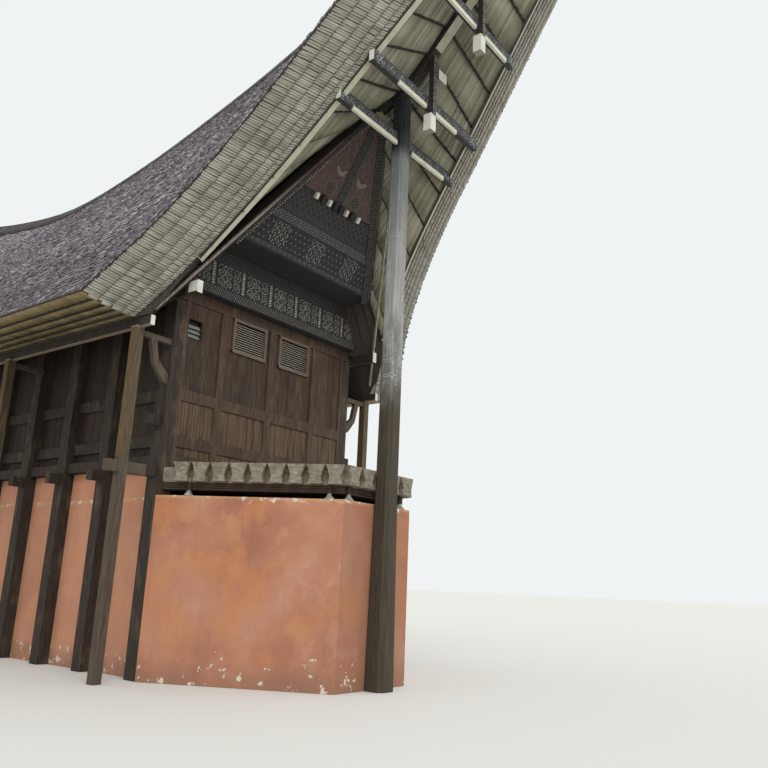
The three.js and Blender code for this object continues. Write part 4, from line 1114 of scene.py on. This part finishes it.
def verge_shadow():
    """Dark strip between the culm ends and the cream board, a batten and painted shadow there, wider where
    the board tapers out at its foot.
    """
    # Painted shadow: a dark strip along the board's edge under the culm ends
    d = np.concatenate([np.linspace(FIRST_D + 0.01, 2.0, 8), np.linspace(2.3, TIP_D - 0.02, 14)])
    g = section(d)
    wide = np.interp(d, [FIRST_D, 1.75], [0.5, 0.28]) * (g["depth"] - 0.004)
    return strip(lift(g["outer"], d), upright(g["inward"]), -upright(g["up"]), (0.004, wide), (-0.01, 0.006))


def under_prows():
    """Culms, joints and the dark strip of painted shadow under each prow."""
    for end, side in QUARTERS:
        local = local_side(end, side)
        place(f"soffit_{end}_{side}", soffit_culms(), "soffit", "thatch", end, local, True)
        place(f"soffit_joints_{end}_{side}", joint_battens(), "joint", "dark_timber", end, local)
        place(f"verge_shadow_{end}_{side}", verge_shadow(), "joint", "dark_timber", end, local)


def ends(end):
    """Row-frame box of a front piece, from distances d, for the front or the rear."""
    turn = 1 if end == "front" else -1

    def box(x0, x1, d0, d1, z0, z1):
        return (turn * x0, turn * x1, -turn * (HALF + d0), -turn * (HALF + d1), z0, z1)

    return box


PILES = 1.32 * np.arange(-5, 6)  # piles between the corner piles
CORNER_PILE_Y = 7.945
PANEL_HEIGHTS = ((3.59, 3.741), (3.941, 4.549), (4.749, 6.35))
BATTEN_EDGES = ((-2.08, -1.325), (-1.165, -0.08), (0.08, 1.165), (1.325, 2.08))
VENTS = ((-1.04, -0.18), (0.18, 1.04))
VENT_Z = (5.69, 6.35)
VENT_RIM = 0.045
VENT_SLATS, VENT_PITCHES = 12, 12.7  # slats, and how many of their pitches the opening is high
VENT_SLAT = {"Thickness": 0.007, "Depth": 0.045}
WINDOW_SLAT = {"Thickness": 0.006, "Depth": 0.08, "Pitch": 0.085, "Count": 3}
WINDOW = (-2.06, -1.765, 5.7, 6.045)


def front_boards(end):
    """Upright boards between the battens, in three heights, clear of the vents and the window."""
    box = ends(end)
    low, high = VENT_Z
    holes = [(x0 + VENT_RIM, x1 - VENT_RIM, low + VENT_RIM, high - VENT_RIM) for x0, x1 in VENTS]
    holes.append(WINDOW)
    items = []
    for x0, x1 in BATTEN_EDGES:
        edges = np.linspace(x0, x1, (4 if x1 - x0 < 0.9 else 5) + 1)
        edges[1:-1] += rng.uniform(-0.025, 0.025, len(edges) - 2)
        for z0, z1 in PANEL_HEIGHTS:
            for a, b in zip(edges[:-1], edges[1:]):
                proud = -0.03 + rng.uniform(0.002, 0.01)
                cuts = [h for h in holes if h[0] < b and h[1] > a and z1 > h[2] and z0 < h[3]]
                rows = [(a, b, z0, z1)]
                for h in cuts:
                    rows = [(a, b, z0, h[2]), (a, b, h[3], z1), (a, max(a, h[0]), h[2], h[3]),
                            (min(b, h[1]), b, h[2], h[3])]
                for p, q, low, high in rows:
                    if q - p > 0.012 and high - low > 0.012:
                        items.append(box(p + 0.002, q - 0.002, -0.034, proud, low + 0.002, high - 0.002))
    return boxes(f"boards_{end}", items, "boards", "dark_timber")


def slat_tree():
    """Geometry Nodes tree: a row of tilted slats up an opening, from its named sizes."""
    tree = bpy.data.node_groups.new("slats", "GeometryNodeTree")
    face = tree.interface
    face.new_socket("Geometry", in_out="OUTPUT", socket_type="NodeSocketGeometry")
    inputs = [("Length", "NodeSocketFloat"), ("Thickness", "NodeSocketFloat"), ("Depth", "NodeSocketFloat"),
              ("Pitch", "NodeSocketFloat"), ("Tilt", "NodeSocketFloat"), ("Count", "NodeSocketInt"),
              ("Foot", "NodeSocketVector"), ("Material", "NodeSocketMaterial")]
    for name, kind in inputs:
        face.new_socket(name, in_out="INPUT", socket_type=kind)
    given = tree.nodes.new("NodeGroupInput").outputs
    slat = add(tree, "box", add(tree, "joined", given["Length"], given["Depth"], given["Thickness"]))
    step = add(tree, "joined", 0.0, 0.0, given["Pitch"])
    line = add(tree, "row", given["Count"], given["Foot"], step)
    row = add(tree, "instances", line, slat, add(tree, "joined", given["Tilt"]))
    add(tree, "result", add(tree, "material", add(tree, "realized", row), given["Material"]))
    return tree


SLATS = slat_tree()


def slats(name, values, material):
    """One opening's row of slats as a plain mesh."""
    holder = bpy.data.objects.new(name, bpy.data.meshes.new(name + "_points"))
    bpy.context.scene.collection.objects.link(holder)
    modifier = holder.modifiers.new("slats", "NODES")
    modifier.node_group = SLATS
    sockets = {s.name: s.identifier for s in SLATS.interface.items_tree if s.in_out == "INPUT"}
    for key, value in {**values, "Material": MAT[material]}.items():
        modifier[sockets[key]] = value
    graph = bpy.context.evaluated_depsgraph_get()
    mesh = bpy.data.meshes.new_from_object(holder.evaluated_get(graph))
    holder.modifiers.remove(modifier)
    holder.data = mesh
    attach(holder, "root")
    return holder


def vents(end):
    """Rims and slats of the vents, and the small window's slats."""
    box = ends(end)
    turn = 1 if end == "front" else -1
    rims, backs = [], []
    low, high = VENT_Z
    for i, (x0, x1) in enumerate(VENTS):
        rims += [box(x0, x1, -0.03, 0.016, low, low + VENT_RIM + 0.012),
                 box(x0, x1, -0.03, 0.012, high - VENT_RIM, high),
                 box(x0, x0 + VENT_RIM, -0.03, 0.01, low, high),
                 box(x1 - VENT_RIM, x1, -0.03, 0.01, low, high)]
        values = {**VENT_SLAT, "Length": x1 - x0 - 2 * VENT_RIM - 0.004,
                  "Pitch": (high - low - 2 * VENT_RIM) / VENT_PITCHES, "Tilt": turn * 0.6,
                  "Count": VENT_SLATS,
                  "Foot": (turn * (x0 + x1) / 2, -turn * (HALF - 0.035), low + VENT_RIM + 0.035)}
        slats(f"vent_slats_{end}_{i + 1}", values, "louvre")
        backs.append(box(x0 + VENT_RIM, x1 - VENT_RIM, -0.12, -0.1, low + VENT_RIM, high - VENT_RIM))
    x0, x1, low, high = WINDOW
    values = {**WINDOW_SLAT, "Length": x1 - x0 - 0.01, "Tilt": turn * 1.1,
              "Foot": (turn * (x0 + x1) / 2, -turn * (HALF - 0.075), low + 0.055)}
    slats(f"window_slats_{end}", values, "pane")
    backs.append(box(x0 + 0.005, x1 - 0.005, -0.14, -0.12, low, high))
    boxes(f"vent_rims_{end}", rims, "rim", "dark_timber")
    boxes(f"vent_shade_{end}", backs, "dark", "dark_timber")


POST_HALF = 0.125
SIDE_BOARDS_X = (2.148, 2.156)  # back and face of the boards of the long sides
SIDE_PANEL_HEIGHTS = ((3.57, 3.741), (3.941, 4.549), (4.749, 6.28))


def side_boards(side):
    """Boards between the wall posts in three heights."""
    turn = 1 if side == "right" else -1
    back, face = SIDE_BOARDS_X
    posts = [(-CORNER_PILE_Y - 0.3, -CORNER_PILE_Y)] + [(y - POST_HALF, y + POST_HALF) for y in PILES]
    posts.append((CORNER_PILE_Y, CORNER_PILE_Y + 0.3))
    items = []
    for (_, y0), (y1, _) in zip(posts[:-1], posts[1:]):
        edges = np.linspace(y0, y1, 6)
        for z0, z1 in SIDE_PANEL_HEIGHTS:
            for a, b in zip(edges[:-1], edges[1:]):
                proud = face + rng.uniform(0, 0.01)
                items.append((turn * back, turn * proud, a + 0.003, b - 0.003, z0, z1))
    return boxes(f"boards_{side}", items, "side_boards", "dark_timber")


# White faces on the right-hand side: x, distance and height, each from and to
WHITE_ENDS = ((2.376, 2.484, 0.64, 0.652, 6.276, 6.494),  # end of the wall plate
              (2.986, 3.064, 0.274, 0.286, 5.586, 5.75),  # end of the beam under the eaves
              (2.48, 2.49, 0.42, 0.64, 6.3, 6.49))  # outer side of the wall plate's end


def pale_trim():
    """White ends of the plates, eave beams and bars, and the cream boards along the bars."""
    whites, creams = [], []
    for end in ("front", "rear"):
        box = ends(end)
        for s in (-1, 1):
            whites += [box(s * x0, s * x1, *rest) for x0, x1, *rest in WHITE_ENDS]
        for d, half, bottom, runs in BARS:
            for s in (-1, 1):
                tip = box(s * half, s * (half + 0.01), d - 0.1, d - 0.004, bottom + 0.01, bottom + 0.2)
                whites.append(tip)
            for x0, x1 in runs:
                creams.append(box(x0, x1, d - 0.03, d + 0.018, bottom - 0.055, bottom + 0.03))
    boxes("white_beam_ends", whites, "white", "pale_timber")
    boxes("cream_bar_boards", creams, "cream", "pale_timber")


GABLE_D, GABLE_FOOT = 0.11, 5.85  # distance and height of the gable's foot
GABLE_HALF, GABLE_TOP = 2.88, 5.54  # half its width at the foot, and its top, up the lean
GABLE_RISE = GABLE_TOP / GABLE_HALF
PANEL_OFF = -0.238  # the panel's face, behind the rafters'
UP_GABLE = np.array([0, -math.sin(LEAN), math.cos(LEAN)])
OFF_GABLE = np.array([0, -math.cos(LEAN), -math.sin(LEAN)])
ACROSS = np.array([1.0, 0, 0])


def gable_point(x, v, off):
    """Point of the leaning gable: x across, v up the lean, off in front of its face."""
    d = GABLE_D + v * math.sin(LEAN) + off * math.cos(LEAN)
    return np.array([x, -(HALF + d), GABLE_FOOT + v * math.cos(LEAN) - off * math.sin(LEAN)])


# Blocks across the panel: middles, half width, and the heights up the lean of foot and head
BLOCKS = {"white": ((-0.615, -0.25, 0.25, 0.615), 0.031, 3.065, 3.185),
          "gable": ((-0.43, -0.08, 0.08, 0.43), 0.045, 3.05, 3.21)}


def gable_trim():
    """Faded red edges of the rafters, carved strips beside them and up the middle, and the row of blocks."""
    slope = unit(-ACROSS / GABLE_RISE + UP_GABLE)
    inward = unit(np.cross(slope, OFF_GABLE))
    inward = inward * (-1 if inward[0] > 0 else 1)

    def edge(v, off):
        return np.array([gable_point(GABLE_HALF - t / GABLE_RISE, t, off) for t in v])

    trim = strip(edge(np.linspace(0.05, 5.0, 12), 0), inward, OFF_GABLE, (-0.09, -0.05), (-0.02, 0.025))
    carving = strip(edge(np.linspace(1.75, 5.0, 10), PANEL_OFF), inward, OFF_GABLE, (0.02, 0.21),
                    (-0.02, 0.02))
    for end in ("front", "rear"):
        for side in ("right", "left"):
            place(f"rafter_trim_{end}_{side}", trim, "trim", "carved_timber", end, side)
            place(f"rafter_carving_{end}_{side}", carving, "strip", "carved_timber", end, side)
        middle = np.array([gable_point(0, t, PANEL_OFF) for t in np.linspace(3.25, 5.1, 6)])
        strip_made = strip(middle, ACROSS, OFF_GABLE, (-0.09, 0.09), (-0.02, 0.022))
        place(f"gable_middle_strip_{end}", strip_made, "strip", "carved_timber", end, "right")
        for finish, (at, wide, low, high) in BLOCKS.items():
            made = [strip(np.array([gable_point(x, t, PANEL_OFF) for t in (low, high)]), ACROSS, OFF_GABLE,
                          (-wide, wide), (0.0, 0.07)) for x in at]
            place(f"gable_{finish}_blocks_{end}", merged(made), finish, "carved_timber", end, "right")


def plain_values(vertices):
    """Attributes of a piece that has one tone."""
    return {key: np.full(len(vertices), 0.5) for key in ("tint", "along")}


def disc(centre, radius, tube, thick=0.01, steps=28):
    """A flat ring that lies on the gable panel, reaching tube to both sides of its radius."""
    theta = np.linspace(0, 2 * math.pi, steps, endpoint=False)
    rays = np.cos(theta)[:, None] * ACROSS + np.sin(theta)[:, None] * UP_GABLE
    rim = [centre + rays * (radius - tube), centre + rays * (radius + tube),
           centre + rays * (radius + tube) + OFF_GABLE * thick,
           centre + rays * (radius - tube) + OFF_GABLE * thick]
    vertices = np.stack(rim, 1).reshape(-1, 3)
    k = np.arange(steps)[:, None] * 4
    nxt = (np.arange(steps)[:, None] + 1) % steps * 4
    quads = np.concatenate([np.concatenate([k + i, k + (i + 1) % 4, nxt + (i + 1) % 4, nxt + i], 1)
                            for i in range(4)])
    return outward((vertices, [quads], plain_values(vertices)))


# Outlines in metres of a cockerel's body and of the carved head by the post
COCKEREL = [(-0.1, 0.0), (-0.03, -0.05), (0.03, -0.05), (0.07, -0.01), (0.08, 0.05), (0.12, 0.07),
            (0.07, 0.09), (0.05, 0.08), (0.02, 0.03), (-0.04, 0.03), (-0.08, 0.08), (-0.13, 0.08),
            (-0.12, 0.03)]
CARVED_HEAD = [(-0.26, 0.06), (-0.16, -0.02), (-0.14, -0.16), (-0.06, -0.1), (0.0, -0.12), (0.03, -0.02),
               (0.16, 0.1), (0.18, 0.2), (0.06, 0.12), (-0.04, 0.1), (-0.12, 0.16), (-0.16, 0.1)]


SUN_AT, SUN_CIRCLES, SUN_FACE = (0.38, 3.39), (0.02, 0.07, 0.115, 0.155), 0.064
COCKEREL_AT, COCKEREL_SIZE = (0.28, 3.73), (1.35, 1.1)
HEAD_AT = (-0.1, 4.93)


def cut_out(outline, origin, across, upward, out, thick):
    """A board cut to an outline, as (vertices, faces, attributes)."""
    points = np.array([origin + across * u + upward * v for u, v in outline])
    n = len(points)
    vertices = np.concatenate([points, points + out * thick])
    centre = np.array([points.mean(0), points.mean(0) + out * thick])
    vertices = np.concatenate([vertices, centre])
    i = np.arange(n)
    j = (i + 1) % n
    sides = np.stack([i, j, n + j, n + i], -1)
    fans = np.concatenate([np.stack([j, i, np.full(n, 2 * n)], -1),
                           np.stack([n + i, n + j, np.full(n, 2 * n + 1)], -1)])
    return outward((vertices, [sides, fans], plain_values(vertices)))


def gable_figures():
    """Sun circles and cockerels on the red boards, and the carved head beside the post."""
    for end in ("front", "rear"):
        rings, faces, birds = [], [], []
        for s in (-1, 1):
            centre = gable_point(s * SUN_AT[0], SUN_AT[1], PANEL_OFF)
            rings += [disc(centre, radius, 0.006) for radius in SUN_CIRCLES]
            faces.append(disc(centre, SUN_FACE, 0.06, 0.004))
            outline = [(s * -u * COCKEREL_SIZE[0], v * COCKEREL_SIZE[1]) for u, v in COCKEREL]
            foot = gable_point(s * COCKEREL_AT[0], COCKEREL_AT[1], PANEL_OFF)
            birds.append(cut_out(outline, foot, ACROSS, UP_GABLE, OFF_GABLE, 0.012))
        place(f"sun_faces_{end}", merged(faces), "gable", "carved_timber", end, "right")
        place(f"sun_circles_{end}", merged(rings), "sun", "carved_timber", end, "right")
        place(f"cockerels_{end}", merged(birds), "sun", "carved_timber", end, "right")
        head = cut_out(CARVED_HEAD, gable_point(*HEAD_AT, 0.03), ACROSS, np.array([0, 0, 1.0]),
                       np.array([0, -1.0, 0]), 0.05)
        place(f"carved_head_{end}", head, "head", "pale_timber", end, "right")


def dress_frame():
    """Materials on the CAD nodes that stay in view."""
    plain = {"roof_slope": "roof_core", "prow": "roof_core", "ridge_cap": "cap", "side_wall": "side_boards",
             "side_frame": "piles", "eave_frame": "tan_post", "masonry": "plaster", "floor": "dark",
             "verge_board": "verge_board", "ridge_beam": "ridge_beam", "gable_rafters": "rafter",
             "gable_panel": "panel", "frieze": "frieze", "wall_frame": "frame", "front_wall": "boards",
             "rear_wall": "boards", "_post": "grey_post", "cross_bar": "bar", "log_deck": "bark"}
    for name, node in nodes.items():
        key = next(k for k in plain if k in name)
        node.data.materials.clear()
        node.data.materials.append(MAT[plain[key]])


FLOOR_REACH, FLOOR_HEIGHT = 300, -0.004
LAMPS = (("key", (50, 0, -35), 1.6, 40), ("fill", (62, 0, 60), 0.5, 60))  # turn, power and angle


def stage():
    """Pale floor and soft studio light."""
    floor = Shade("studio_floor", "plain pale floor").finish("#d3d1cb", 0.9)
    mesh = bpy.data.meshes.new("floor_sheet")
    low, high = -FLOOR_REACH, FLOOR_REACH
    corners = [(x, y, FLOOR_HEIGHT) for x, y in ((low, low), (high, low), (high, high), (low, high))]
    mesh.from_pydata(corners, [], [(0, 1, 2, 3)])
    mesh.materials.append(floor)
    sheet = bpy.data.objects.new("floor_sheet", mesh)
    bpy.context.scene.collection.objects.link(sheet)
    world = bpy.data.worlds.new("studio")
    bpy.context.scene.world = world
    world.use_nodes = True
    sky = world.node_tree.nodes["Background"].inputs
    sky["Color"].default_value = colour("#f0f3f4")
    sky["Strength"].default_value = 1.0
    for name, turn, power, angle in LAMPS:
        data = bpy.data.lights.new(name, "SUN")
        data.energy, data.angle = power, math.radians(angle)
        lamp = bpy.data.objects.new(name, data)
        lamp.rotation_euler = [math.radians(t) for t in turn]
        bpy.context.scene.collection.objects.link(lamp)
    bpy.context.scene.view_settings.view_transform = "Standard"


dress_frame()
lay_shingles()
lay_culms()
under_prows()
for which in ("front", "rear"):
    front_boards(which)
    vents(which)
for which in ("left", "right"):
    side_boards(which)
pale_trim()
gable_trim()
gable_figures()
stage()
